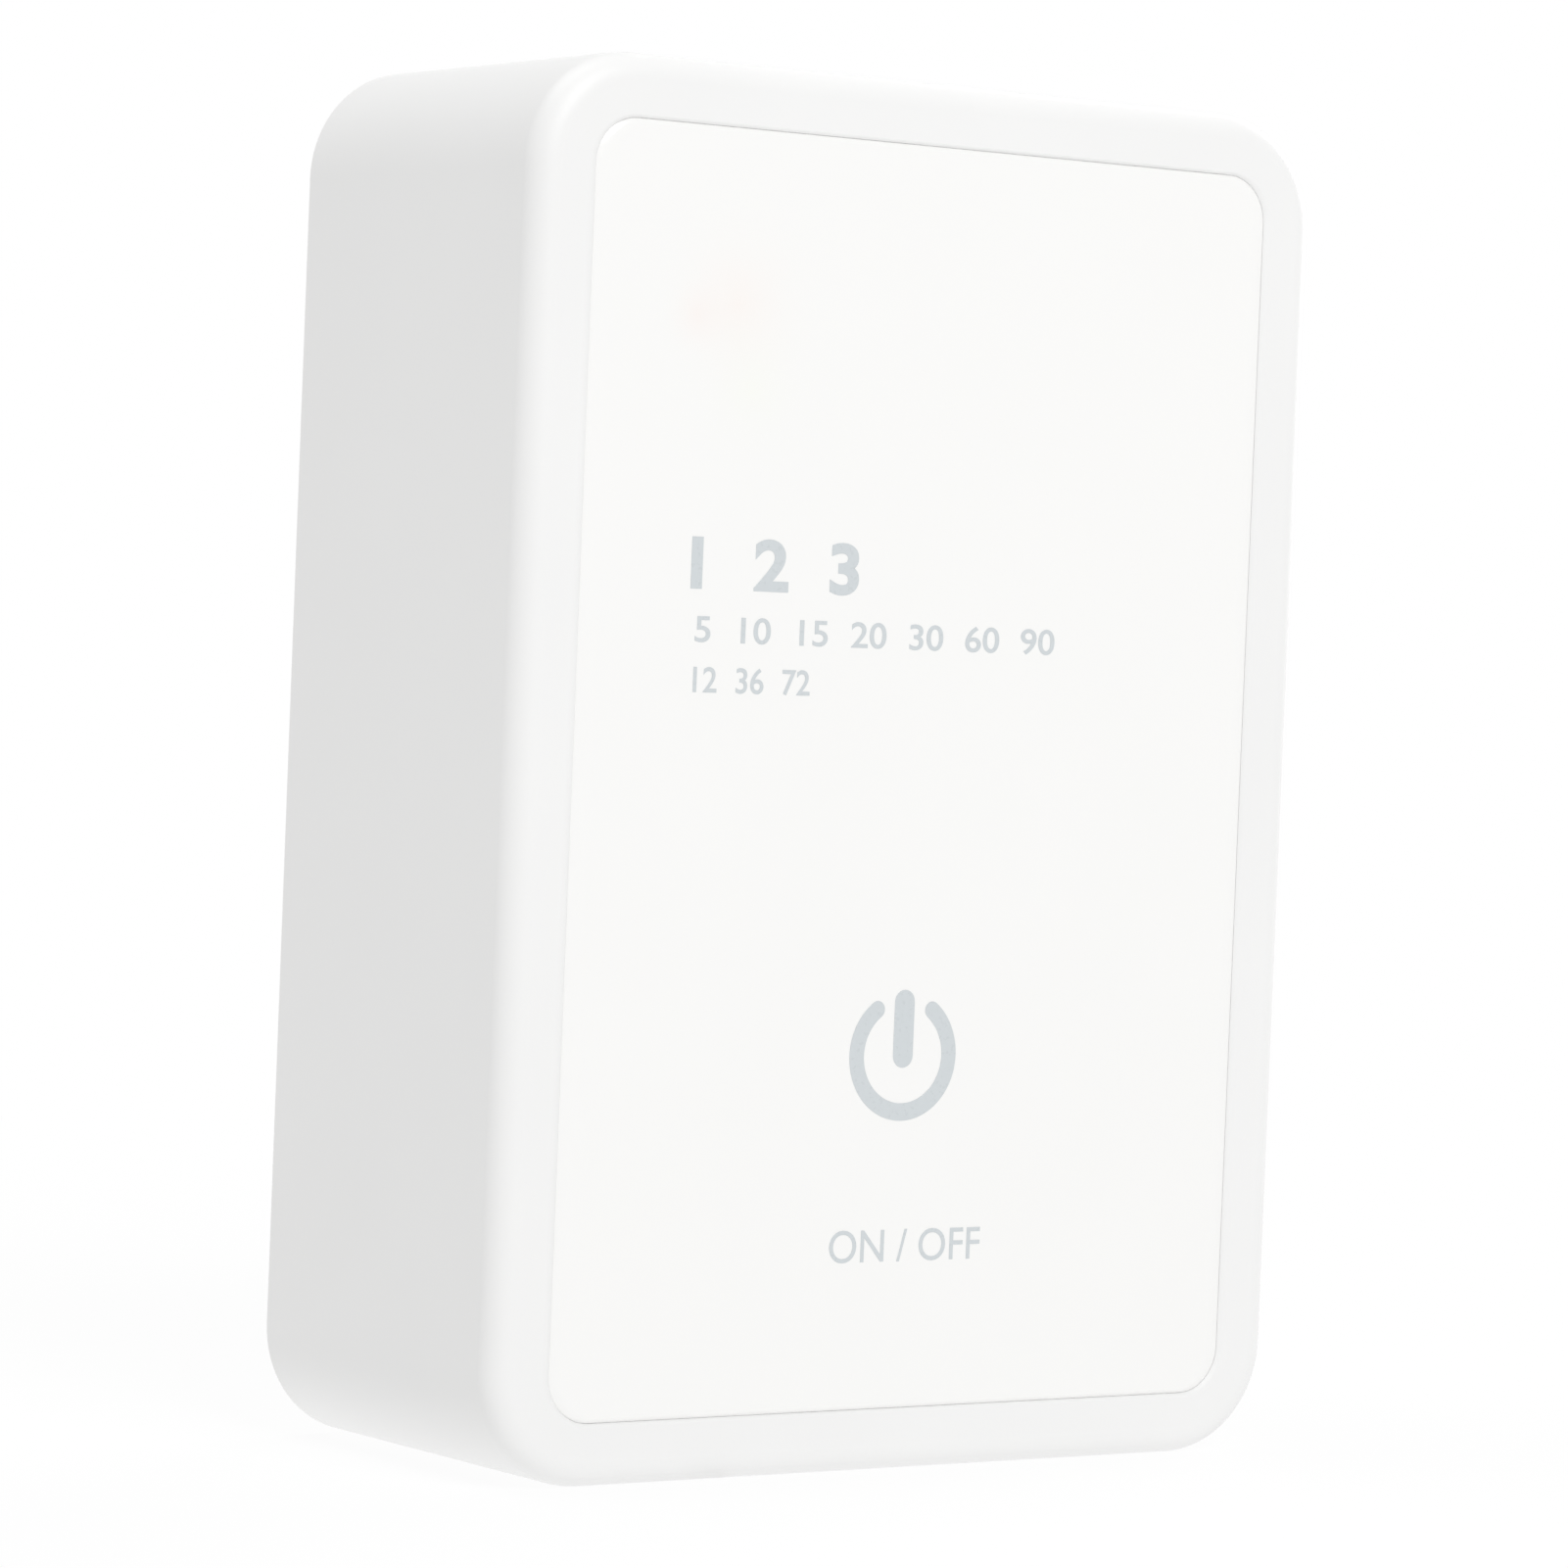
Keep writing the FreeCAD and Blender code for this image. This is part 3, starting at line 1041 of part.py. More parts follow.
def battery_connector():
    """Where the cell's leads reach the board."""
    return connector(BATTERY_CONNECTOR_X, BATTERY_CONNECTOR_Z)


def motor_connector():
    """Where the motor's leads reach the board."""
    return connector(MOTOR_CONNECTOR_X, MOTOR_CONNECTOR_Z)


def battery_cell():
    """Round cell across the case, with its button end at the right."""
    shoulder_x = CELL_END - CELL_BUTTON_LENGTH
    can = rod_x(CELL_RADIUS, -CELL_END, shoulder_x, CELL_Y, CELL_Z)
    return can.fuse(rod_x(CELL_BUTTON_RADIUS, shoulder_x, CELL_END, CELL_Y, CELL_Z))


def battery_tabs():
    """Nickel strips on the cell's ends."""
    tabs = []
    for x in (-CELL_END - TAB_THICKNESS, CELL_END):
        tabs.append(block(x, x + TAB_THICKNESS, CELL_Y - TAB_WIDTH / 2, CELL_Y + TAB_WIDTH / 2,
                          CELL_Z - TAB_HEIGHT / 2, CELL_Z + TAB_HEIGHT / 2))
    return Part.makeCompound(tabs)


def battery_pads():
    """Foam strips between the cell and the cover."""
    cell = rod_x(CELL_RADIUS, -CELL_END, CELL_END, CELL_Y, CELL_Z)
    pads = []
    for side in (-1, 1):
        x = side * (CRADLE_SPACING - CRADLE_THICKNESS - PAD_LENGTH) / 2
        pad = block(x - PAD_LENGTH / 2, x + PAD_LENGTH / 2, COVER_Y - 2 * PAD_THICKNESS, COVER_Y,
                    CELL_Z - PAD_WIDTH / 2, CELL_Z + PAD_WIDTH / 2)
        pads.append(pad.cut(cell))
    return Part.makeCompound(pads)


def lead_section(centre, direction):
    """Six-sided outline of a lead, square to its first run."""
    outline = [centre + FreeCAD.Rotation(ALONG_X, direction).multVec(
        Vector(0, math.cos(2 * math.pi * i / LEAD_SIDES), math.sin(2 * math.pi * i / LEAD_SIDES))
        * LEAD_RADIUS) for i in range(LEAD_SIDES)]
    return Part.makePolygon(outline + outline[:1])


def lead(points):
    """Insulated wire along straight runs joined by arcs as large as the runs allow."""
    edges = []
    radii = []
    start = points[0]
    for before, here, after in zip(points, points[1:], points[2:]):
        back = before - here
        ahead = after - here
        reach = BEND_SHARE * min(back.Length, ahead.Length)
        back.normalize()
        ahead.normalize()
        half_turn = (math.pi - back.getAngle(ahead)) / 2
        radius = reach / math.tan(half_turn)
        radii.append(radius)
        inward = back + ahead
        inward.normalize()
        bend_start = here + back * reach
        bend_end = here + ahead * reach
        middle = here + inward * (radius / math.cos(half_turn) - radius)
        edges.append(Part.LineSegment(start, bend_start).toShape())
        edges.append(Part.Arc(bend_start, middle, bend_end).toShape())
        start = bend_end
    edges.append(Part.LineSegment(start, points[-1]).toShape())
    path = Part.Wire(edges)
    section = lead_section(points[0], points[1] - points[0])
    tube = path.makePipeShell([section], True, False)
    print("lead length %.1f, smallest bend %.1f, volume ratio %.4f"
          % (path.Length, min(radii), tube.Volume / (Part.Face(section).Area * path.Length)))
    return tube


def battery_leads():
    """Leads from both ends of the cell up to the board."""
    plug_z = BATTERY_CONNECTOR_Z + CONNECTOR_HEIGHT / 2
    plug_y = BOARD_BACK_Y + CONNECTOR_DEPTH / 2
    top_z = MODULE_BOTTOM - LEAD_BELOW_MODULE
    leads = []
    for side in (-1, 1):
        end_x = side * (CELL_END + TAB_THICKNESS + LEAD_RADIUS)
        plug_x = BATTERY_CONNECTOR_X + side * LEAD_PITCH / 2
        leads.append(lead([Vector(end_x, CELL_Y, CELL_Z), Vector(end_x, CELL_Y, top_z),
                           Vector(plug_x, plug_y, top_z), Vector(plug_x, plug_y, plug_z)]))
    return Part.makeCompound(leads)


def motor_leads():
    """Leads from the motor's terminals up to the board."""
    tip_x = CAN_END_X - TERMINAL_LENGTH
    turn_x = tip_x - MOTOR_LEAD_RUN
    plug_y = BOARD_BACK_Y + CONNECTOR_DEPTH / 2
    plug_z = MOTOR_CONNECTOR_Z - CONNECTOR_HEIGHT / 2
    leads = []
    for side in (-1, 1):
        z = PUMP_Z + side * TERMINAL_SPACING / 2
        plug_x = MOTOR_CONNECTOR_X + side * LEAD_PITCH / 2
        leads.append(lead([Vector(tip_x, PUMP_Y, z), Vector(turn_x, PUMP_Y, z),
                           Vector(plug_x, plug_y, plug_z - PLUG_RUN), Vector(plug_x, plug_y, plug_z)]))
    return Part.makeCompound(leads)


PIECES = [
    housing, front_panel, panel_tape, rear_cover, cover_screws, nozzle_grommets,
    pump_head, outlet_valve, valve_plate, inlet_valves, diaphragm, diaphragm_seat, wobble_yoke,
    eccentric_pin, eccentric_hub, pump_base, pump_clips,
    motor_can, motor_end_cap, motor_terminals, motor_magnets, motor_bushes, motor_brushes,
    motor_shaft, armature_core, armature_windings, commutator, motor_screws, motor_cushion,
    circuit_board, board_screws, wifi_module, module_shield, usb_shell, usb_tongue, touch_contact,
    status_leds, light_shields, board_chips, storage_capacitor, charge_inductor,
    battery_connector, motor_connector, battery_cell, battery_tabs, battery_pads, battery_leads,
    motor_leads,
]


def main():
    """Build every piece and write it under its own name."""
    os.makedirs("parts", exist_ok=True)
    for piece in PIECES:
        shape = piece()
        shape.exportStep(os.path.join("parts", piece.__name__ + ".step"))


main()
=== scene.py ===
import json
import math

import bmesh
import bpy
from mathutils import Matrix, Vector


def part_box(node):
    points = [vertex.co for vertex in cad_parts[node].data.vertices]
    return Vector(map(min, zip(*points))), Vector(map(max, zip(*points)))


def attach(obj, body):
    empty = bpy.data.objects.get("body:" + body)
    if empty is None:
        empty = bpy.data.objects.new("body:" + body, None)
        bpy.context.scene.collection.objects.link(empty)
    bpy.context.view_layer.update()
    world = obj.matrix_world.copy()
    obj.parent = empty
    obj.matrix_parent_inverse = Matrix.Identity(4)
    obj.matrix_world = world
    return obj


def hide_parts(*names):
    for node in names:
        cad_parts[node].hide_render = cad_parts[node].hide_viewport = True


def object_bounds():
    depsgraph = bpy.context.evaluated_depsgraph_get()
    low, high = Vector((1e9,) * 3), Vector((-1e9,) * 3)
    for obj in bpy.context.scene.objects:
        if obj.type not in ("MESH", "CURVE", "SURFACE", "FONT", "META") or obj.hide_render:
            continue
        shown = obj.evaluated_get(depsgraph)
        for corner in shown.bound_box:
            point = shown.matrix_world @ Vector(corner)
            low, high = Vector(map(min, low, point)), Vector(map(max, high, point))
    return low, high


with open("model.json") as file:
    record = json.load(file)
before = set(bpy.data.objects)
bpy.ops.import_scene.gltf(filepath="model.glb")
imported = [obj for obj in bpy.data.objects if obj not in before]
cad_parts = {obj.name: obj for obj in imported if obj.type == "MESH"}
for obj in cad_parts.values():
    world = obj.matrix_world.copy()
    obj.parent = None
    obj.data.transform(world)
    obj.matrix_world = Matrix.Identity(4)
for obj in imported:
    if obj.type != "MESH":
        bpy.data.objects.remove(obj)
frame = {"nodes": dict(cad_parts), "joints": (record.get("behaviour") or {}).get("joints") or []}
CAD_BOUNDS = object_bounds()

bl_info = {
    "name": "Drip irrigation controller",
    "version": (1, 0, 0),
    "blender": (4, 5, 0),
    "location": "View3D > Sidebar > Controller",
    "description": "Dresses a drip irrigation controller with its case, panel, pump and board",
    "category": "Object",
}

MM = 0.001
CASE = "case"
YOKE = "yoke"
WHITE = (1.0, 1.0, 1.0)

# Places taken from the solid model
CASE_LOW, CASE_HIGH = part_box("housing")
COVER_LOW, COVER_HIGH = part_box("rear_cover")
PANEL_LOW, PANEL_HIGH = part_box("front_panel")
SHELL_LOW, SHELL_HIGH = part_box("usb_shell")
GROMMET_LOW, GROMMET_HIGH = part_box("nozzle_grommets")
TAPE_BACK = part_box("panel_tape")[1].y
BOARD_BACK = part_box("circuit_board")[1].y

# Sizes of the solid model that its boxes don't give
COVER_TO_SIDE = 1.35 * MM
COVER_THICKNESS = 2.0 * MM
FLOOR_THICKNESS = 1.6 * MM
SHIELD_HALF = 2.5 * MM
GROMMET_RADIUS = 4.3 * MM
COVER_HEAD_RADIUS = 2.4 * MM
BOARD_HEAD_RADIUS = 1.8 * MM
CUP_FOOT_DROP = 1.85 * MM

# Levels and half sizes of the case
FRONT = PANEL_LOW.y
REAR = COVER_HIGH.y
WALL_END = REAR - COVER_THICKNESS + 0.1 * MM
HALF_WIDTH = COVER_HIGH.x + COVER_TO_SIDE
HALF_HEIGHT = (COVER_HIGH.z - COVER_LOW.z) / 2 + COVER_TO_SIDE
PANEL_HALF_HEIGHT = (PANEL_HIGH.z - PANEL_LOW.z) / 2
MIDDLE_Z = (CASE_HIGH.z + CASE_LOW.z) / 2

# Steps of each curve
CORNER_STEPS = 20
LIP_STEPS = 8
PLATE_EDGE_STEPS = 12
FRONT_EDGE_STEPS = 14
SMALL_EDGE_STEPS = 4
SLOT_STEPS = 16
STROKE_END_STEPS = 12
SYMBOL_STEPS = 72

# How far a cutter stands past the face that it opens, and how deep the print is sunk in the plate
CUT_PAST = 0.1 * MM
PRINT_DEPTH = 0.03 * MM


# Values and materials

class Value:
    """Output of a node, on which plain arithmetic adds Math nodes."""

    def __init__(self, nodes, socket):
        self.nodes = nodes
        self.socket = socket

    def __add__(self, other):
        return self.nodes.math("ADD", self, other)

    def __radd__(self, other):
        return self.nodes.math("ADD", other, self)

    def __sub__(self, other):
        return self.nodes.math("SUBTRACT", self, other)

    def __rsub__(self, other):
        return self.nodes.math("SUBTRACT", other, self)

    def __mul__(self, other):
        return self.nodes.math("MULTIPLY", self, other)

    def __rmul__(self, other):
        return self.nodes.math("MULTIPLY", other, self)

    def __truediv__(self, other):
        return self.nodes.math("DIVIDE", self, other)

    def __pow__(self, other):
        return self.nodes.math("POWER", self, other)


class Nodes:
    """Node tree of a material or the world, emptied first."""

    def __init__(self, owner):
        owner.use_nodes = True
        self.tree = owner.node_tree
        self.tree.nodes.clear()

    def put(self, socket, value):
        """Set a socket, or link a value to it."""
        if isinstance(value, Value):
            self.tree.links.new(value.socket, socket)
        elif isinstance(value, (tuple, list)) and socket.type == "RGBA":
            socket.default_value = (*value[:3], 1.0)
        else:
            socket.default_value = value

    def node(self, kind, settings=None, inputs=None, output=0):
        """Node with its settings made first, then its sockets."""
        made = self.tree.nodes.new(kind)
        for key, value in (settings or {}).items():
            setattr(made, key, value)
        for key, value in (inputs or {}).items():
            self.put(made.inputs[key], value)
        return Value(self, made.outputs[output])

    def end(self, kind, shader):
        """Output node that a shader feeds."""
        self.put(self.tree.nodes.new(kind).inputs[0], shader)

    def math(self, operation, first, second=0.0):
        return self.node("ShaderNodeMath", {"operation": operation}, {0: first, 1: second})

    def blend(self, factor, first, second):
        """Mix of two colours."""
        return self.node("ShaderNodeMix", {"data_type": "RGBA"}, {0: factor, 6: first, 7: second}, output=2)

    def between(self, value, low, high, to_low=0.0, to_high=1.0):
        """Value carried from one range to another and kept inside it."""
        return self.node("ShaderNodeMapRange", {"clamp": True}, {
            "Value": value, "From Min": low, "From Max": high, "To Min": to_low, "To Max": to_high})

    def seen(self):
        """1 on rays from the camera, from gloss and through glass."""
        path = self.tree.nodes.new("ShaderNodeLightPath")
        total = Value(self, path.outputs["Is Camera Ray"])
        for kind in ("Is Glossy Ray", "Is Transmission Ray"):
            total = self.math("MAXIMUM", total, Value(self, path.outputs[kind]))
        return total


class Finish(Nodes):
    """Material of one surface: its nodes, and the shader that they feed."""

    def __init__(self, name, **constants):
        self.material = bpy.data.materials.new(name)
        super().__init__(self.material)
        self.shader = self.tree.nodes.new("ShaderNodeBsdfPrincipled")
        self.end("ShaderNodeOutputMaterial", Value(self, self.shader.outputs[0]))
        self.place = self.node("ShaderNodeTexCoord", output="Object")
        for socket, value in constants.items():
            self.feed(socket.replace("_", " "), value)

    def feed(self, socket, value):
        """Set a socket of the shader, or link a value to it."""
        self.put(self.shader.inputs[socket], value)

    def colour(self, value):
        self.feed("Base Color", value)

    def rough(self, value):
        self.feed("Roughness", value)

    def bump(self, height, strength, distance):
        """Relief from a height between 0 and 1."""
        self.feed("Normal", self.node("ShaderNodeBump", {}, {
            "Height": height, "Strength": strength, "Distance": distance}))

    def noise(self, scale, detail=3.0, roughness=0.55, place=None):
        """Even noise, with its scale in lumps a metre."""
        return self.node("ShaderNodeTexNoise", {}, {
            "Vector": place or self.place, "Scale": scale, "Detail": detail, "Roughness": roughness})

    def stretched(self, x, y, z):
        """Object coordinates scaled apart, for brushed and drawn surfaces."""
        return self.node("ShaderNodeMapping", {}, {"Vector": self.place, "Scale": (x, y, z)})

    def along(self, axis):
        """Place along one axis, in metres."""
        return self.node("ShaderNodeSeparateXYZ", {}, {0: self.place}, output=axis)

    def near(self, x, z, radius):
        """1 at a point of the front, falling to 0 at a radius, in metres."""
        flat = self.node("ShaderNodeVectorMath", {"operation": "MULTIPLY"},
                         {0: self.place, 1: (1.0, 0.0, 1.0)})
        gap = self.node("ShaderNodeVectorMath", {"operation": "DISTANCE"}, {0: flat, 1: (x, 0.0, z)},
                        output=1)
        return self.between(gap, 0.0, radius, 1.0, 0.0)


def shade(colour, share):
    """Colour made lighter or darker."""
    return tuple(min(1.0, channel * share) for channel in colour)


def moulded(name, colour, roughness=0.4, grain=2600.0, depth=0.02, **constants):
    """Moulded plastic: a fine spark-eroded grain, faint flow marks and a slight change of gloss."""
    finish = Finish(name, **constants)
    grains = finish.noise(grain, 4.0, 0.6)
    flow = finish.noise(60.0, 2.0, 0.5, finish.stretched(1.0, 1.0, 0.4))
    finish.colour(finish.blend(finish.between(flow, 0.3, 0.7), shade(colour, 0.985), shade(colour, 1.012)))
    finish.rough(finish.between(grains + flow * 0.6, 0.5, 1.1, roughness - 0.05, roughness + 0.06))
    finish.bump(grains, 0.25, depth * MM)
    return finish.material


def rubber(name, colour, roughness=0.62):
    """Soft moulded rubber with bloom in patches."""
    finish = Finish(name, Sheen_Weight=0.15)
    bloom = finish.noise(350.0, 5.0, 0.62)
    specks = finish.noise(5200.0, 2.0, 0.5)
    finish.colour(finish.blend(finish.between(bloom, 0.35, 0.75), shade(colour, 0.82), shade(colour, 1.25)))
    finish.rough(finish.between(bloom, 0.3, 0.7, roughness - 0.1, roughness + 0.1))
    finish.bump(specks, 0.3, 0.03 * MM)
    return finish.material


def metal(name, colour, roughness=0.28, stretch=(1.0, 1.0, 1.0), grain=900.0, tarnish=0.12):
    """Metal with marks drawn out along one direction and a little tarnish."""
    finish = Finish(name, Metallic=1.0)
    marks = finish.noise(grain, 4.0, 0.65, finish.stretched(*stretch))
    stain = finish.noise(140.0, 4.0, 0.6)
    dull = finish.between(stain, 0.5, 0.8)
    finish.colour(finish.blend(dull * tarnish * 4.0, colour, shade(colour, 0.62)))
    finish.rough(finish.between(marks, 0.3, 0.7, roughness - 0.07, roughness + 0.1) + dull * tarnish)
    finish.bump(marks, 0.2, 0.01 * MM)
    return finish.material


def case_finish(settings):
    """Satin white of the case, a little cooler in its grain than the panel."""
    finish = Finish("case_white", IOR=1.5)
    grain = finish.noise(3400.0, 4.0, 0.6)
    flow = finish.noise(45.0, 2.0, 0.5)
    colour = tuple(settings.white)
    finish.colour(finish.blend(finish.between(flow, 0.3, 0.7), shade(colour, 0.99), shade(colour, 1.006)))
    finish.rough(finish.between(grain + flow * 0.5, 0.45, 1.05, settings.gloss - 0.04,
                                settings.gloss + 0.06))
    finish.bump(grain, 0.22, 0.02 * MM)
    return finish.material


def panel_finish(settings):
    """Clear plate with white print behind it, a green tinge and painted shade in its cut edge, and two
    faint painted glows.
    """
    finish = Finish("panel_white", Roughness=0.275, IOR=1.49, Coat_Weight=1.0, Coat_Roughness=0.035,
                    Coat_IOR=1.49)
    cloud = finish.noise(70.0, 2.0, 0.5)
    white = tuple(settings.print_white)
    base = finish.blend(finish.between(cloud, 0.3, 0.7), shade(white, 0.997), shade(white, 1.002))
    facing = finish.node("ShaderNodeSeparateXYZ", {},
                         {0: finish.node("ShaderNodeNewGeometry", output="Normal")}, output=1)
    # Painted shade: where the plate's rim turns away from the front it takes a darker, greener tone, partly
    # the acrylic's own tinge and partly the recess's shade seen through the clear edge.
    edge_tinge_and_shade = (0.84, 0.87, 0.85)
    base = finish.blend(finish.between(facing, -0.6, -0.1), base, edge_tinge_and_shade)
    # Painted glow: warm and green pools of light round the two status lights, mixed into the base colour;
    # no lamp gives them.
    glows = (
        # x, z and radius in millimetres, fall, share, colour
        (-20.2, 95.5, 9.0, 2.2, 1.0, (1.0, 0.62, 0.45)),
        (-24.1, 94.4, 3.4, 1.6, 0.6, (1.0, 0.45, 0.3)),
        (-18.4, 88.8, 7.0, 2.2, 0.7, (0.86, 0.98, 0.6)))
    for x, z, radius, fall, share, colour in glows:
        glow = finish.near(x * MM, z * MM, radius * MM) ** fall
        base = finish.blend(glow * settings.glow * share, base, colour)
    finish.colour(base)
    return finish.material


def print_finish(settings):
    """Pale grey screen print, seen through the panel's gloss."""
    finish = Finish("panel_print", IOR=1.49, Coat_Weight=1.0, Coat_Roughness=0.035, Coat_IOR=1.49)
    screen = finish.noise(2400.0, 2.0, 0.5)
    ink = tuple(settings.print_grey)
    finish.colour(finish.blend(finish.between(screen, 0.35, 0.7), shade(ink, 0.99), shade(ink, 1.01)))
    finish.rough(finish.between(screen, 0.3, 0.7, 0.26, 0.34))
    return finish.material


# Meshes

def finished_mesh(name, bm):
    """Mesh from bmesh data, with its doubles merged and its faces turned outwards."""
    bmesh.ops.remove_doubles(bm, verts=bm.verts, dist=1e-6)
    bmesh.ops.recalc_face_normals(bm, faces=bm.faces)
    mesh = bpy.data.meshes.new(name)
    bm.to_mesh(mesh)
    bm.free()
    return mesh


def lofted(name, rings):
    """Closed solid through rings of equal length."""
    bm = bmesh.new()
    loops = [[bm.verts.new(point) for point in ring] for ring in rings]
    for lower, upper in zip(loops, loops[1:]):
        for i in range(len(lower)):
            bm.faces.new((lower[i - 1], lower[i], upper[i], upper[i - 1]))
    bm.faces.new(loops[0][::-1])
    bm.faces.new(loops[-1])
    return finished_mesh(name, bm)


def level_ring(half_width, half_height, radius, y):
    """Rounded rectangle round the case's middle, counter-clockwise seen from the front."""
    points = []
    for across, up, start in ((1, 1, 0), (-1, 1, 90), (-1, -1, 180), (1, -1, 270)):
        for step in range(CORNER_STEPS + 1):
            turn = math.radians(start + 90.0 * step / CORNER_STEPS)
            points.append((across * (half_width - radius) + radius * math.cos(turn), y,
                           MIDDLE_Z + up * (half_height - radius) + radius * math.sin(turn)))
    return points


def quarter_turns(steps):
    """Angles from 0 to a quarter turn."""
    return [math.radians(90.0 * step / steps) for step in range(steps + 1)]


def spun(name, profile, y=0.0, z=0.0, sides=64):
    """Solid of revolution about an axis along X, from points of station and radius."""
    rings = []
    for x, radius in profile:
        rings.append([(x, y + radius * math.cos(2 * math.pi * i / sides),
                       z + radius * math.sin(2 * math.pi * i / sides)) for i in range(sides)])
    return lofted(name, rings)


def turned_to_y(mesh):
    """Turn a mesh that was spun along X, so that it lies along Y."""
    mesh.transform(Matrix.Rotation(math.radians(90.0), 4, "Z"))
    return mesh


def block_mesh(name, low, high):
    """Plain box between two corners."""
    corners = ((low[0], low[2]), (high[0], low[2]), (high[0], high[2]), (low[0], high[2]))
    return lofted(name, [[(x, y, z) for x, z in corners] for y in (low[1], high[1])])


def node_mesh(node):
    """Merged copy of a solid's mesh, with its flat faces made whole."""
    source = frame["nodes"][node].data
    bm = bmesh.new()
    points = [bm.verts.new(vertex.co) for vertex in source.vertices]
    for polygon in source.polygons:
        bm.faces.new([points[i] for i in polygon.vertices])
    bmesh.ops.remove_doubles(bm, verts=bm.verts, dist=2e-6)
    bmesh.ops.dissolve_limit(bm, angle_limit=math.radians(0.4), verts=bm.verts, edges=bm.edges)
    mesh = bpy.data.meshes.new(node + "_copy")
    bm.to_mesh(mesh)
    bm.free()
    return mesh


def object_of(data, name=None):
    """Object in the scene that holds a mesh, a curve, a lamp or a camera."""
    made = bpy.data.objects.new(name or data.name, data)
    bpy.context.scene.collection.objects.link(made)
    return made


def evaluated(source):
    """Mesh that an object's modifiers give. The object goes."""
    bpy.context.view_layer.update()
    graph = bpy.context.evaluated_depsgraph_get()
    mesh = bpy.data.meshes.new_from_object(source.evaluated_get(graph), depsgraph=graph)
    mesh.materials.clear()
    bpy.data.objects.remove(source)
    return mesh


def carved(mesh, cutters):
    """Mesh after exact cuts by other closed meshes."""
    body = object_of(mesh)
    tools = [object_of(cutter) for cutter in cutters]
    for tool in tools:
        cut = body.modifiers.new("cut", "BOOLEAN")
        cut.operation = "DIFFERENCE"
        cut.solver = "EXACT"
        cut.object = tool
    result = evaluated(body)
    for tool in tools:
        bpy.data.objects.remove(tool)
    if not result.polygons:
        raise RuntimeError("a cut left nothing of " + mesh.name)
    return result


def smooth(mesh, angle):
    """Smooth shading across edges that turn by less than an angle, in degrees."""
    mesh.polygons.foreach_set("use_smooth", [True] * len(mesh.polygons))
    mesh.set_sharp_from_angle(angle=math.radians(angle))


def even(body):
    """Mesh of an object, shaded from the size of its faces."""
    weights = body.modifiers.new("shading", "WEIGHTED_NORMAL")
    weights.keep_sharp = True
    return evaluated(body)


def softened(mesh, edge, segments=2):
    """Mesh with its sharp edges rounded a little, and even shading."""
    sharp = 32.0
    body = object_of(mesh)
    smooth(mesh, sharp)
    bevel = body.modifiers.new("edge", "BEVEL")
    bevel.width = edge
    bevel.segments = segments
    bevel.limit_method = "ANGLE"
    bevel.angle_limit = math.radians(sharp)
    bevel.miter_outer = "MITER_ARC"
    return even(body)


def piece(name, mesh, material, replaced=(), body=CASE):
    """Finished piece on its body, standing for the solids that it replaces."""
    mesh.name = name
    mesh.materials.clear()
    mesh.materials.append(material)
    made = object_of(mesh, name)
    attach(made, body)
    if replaced:
        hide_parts(*replaced)


def softened_piece(name, node, edge, material, segments=2):
    """Piece with a solid's own shape, its sharp edges rounded."""
    piece(name, softened(node_mesh(node), edge, segments), material, [node])


def dress(node, material):
    """Give a solid that stays as it is its material."""
    slots = frame["nodes"][node].material_slots
    for slot in slots:
        slot.material = material
    if not slots:
        raise RuntimeError("no material slot on " + node)


def repeat_tree(name, material, seed):
    """Node tree that sets a template on each point of a mesh, turned by chance about one axis."""
    tree = bpy.data.node_groups.new(name, "GeometryNodeTree")
    for socket, way, kind in (("Points", "INPUT", "Geometry"), ("Template", "INPUT", "Object"),
                              ("Axis", "INPUT", "Vector"), ("Most Turn", "INPUT", "Float"),
                              ("Geometry", "OUTPUT", "Geometry")):
        tree.interface.new_socket(socket, in_out=way, socket_type="NodeSocket" + kind)
    start, info, turn, rotate, place, realize, finish, end = (tree.nodes.new(kind) for kind in (
        "NodeGroupInput", "GeometryNodeObjectInfo", "FunctionNodeRandomValue",
        "FunctionNodeAxisAngleToRotation", "GeometryNodeInstanceOnPoints",
        "GeometryNodeRealizeInstances", "GeometryNodeSetMaterial", "NodeGroupOutput"))
    turn.data_type = "FLOAT"
    turn.inputs["Seed"].default_value = seed
    finish.inputs["Material"].default_value = material
    links = (
        (start.outputs["Template"], info.inputs["Object"]),
        (start.outputs["Most Turn"], turn.inputs[3]),
        (start.outputs["Axis"], rotate.inputs["Axis"]),
        (turn.outputs[1], rotate.inputs["Angle"]),
        (start.outputs["Points"], place.inputs["Points"]),
        (info.outputs["Geometry"], place.inputs["Instance"]),
        (rotate.outputs[0], place.inputs["Rotation"]),
        (place.outputs[0], realize.inputs[0]),
        (realize.outputs[0], finish.inputs["Geometry"]),
        (finish.outputs[0], end.inputs[0]))
    for source, target in links:
        tree.links.new(source, target)
    return tree


def repeated(name, template, places, material, most_turn=0.0, seed=1):
    """Mesh of a template set at every place by a node tree, each turned about Y."""
    points = bpy.data.meshes.new(name + "_points")
    points.from_pydata([tuple(place) for place in places], [], [])
    carrier = object_of(points)
    pattern = object_of(template)
    tree = repeat_tree(name + "_repeat", material, seed)
    nodes = carrier.modifiers.new("repeat", "NODES")
    nodes.node_group = tree
    values = {"Template": pattern, "Axis": (0.0, 1.0, 0.0), "Most Turn": most_turn}
    for item in tree.interface.items_tree:
        if item.in_out == "INPUT" and item.name in values:
            nodes[item.identifier] = values[item.name]
    mesh = evaluated(carrier)
    bpy.data.objects.remove(pattern)
    if not mesh.polygons:
        raise RuntimeError("nothing was repeated for " + name)
    return mesh


# Settings that a user would change

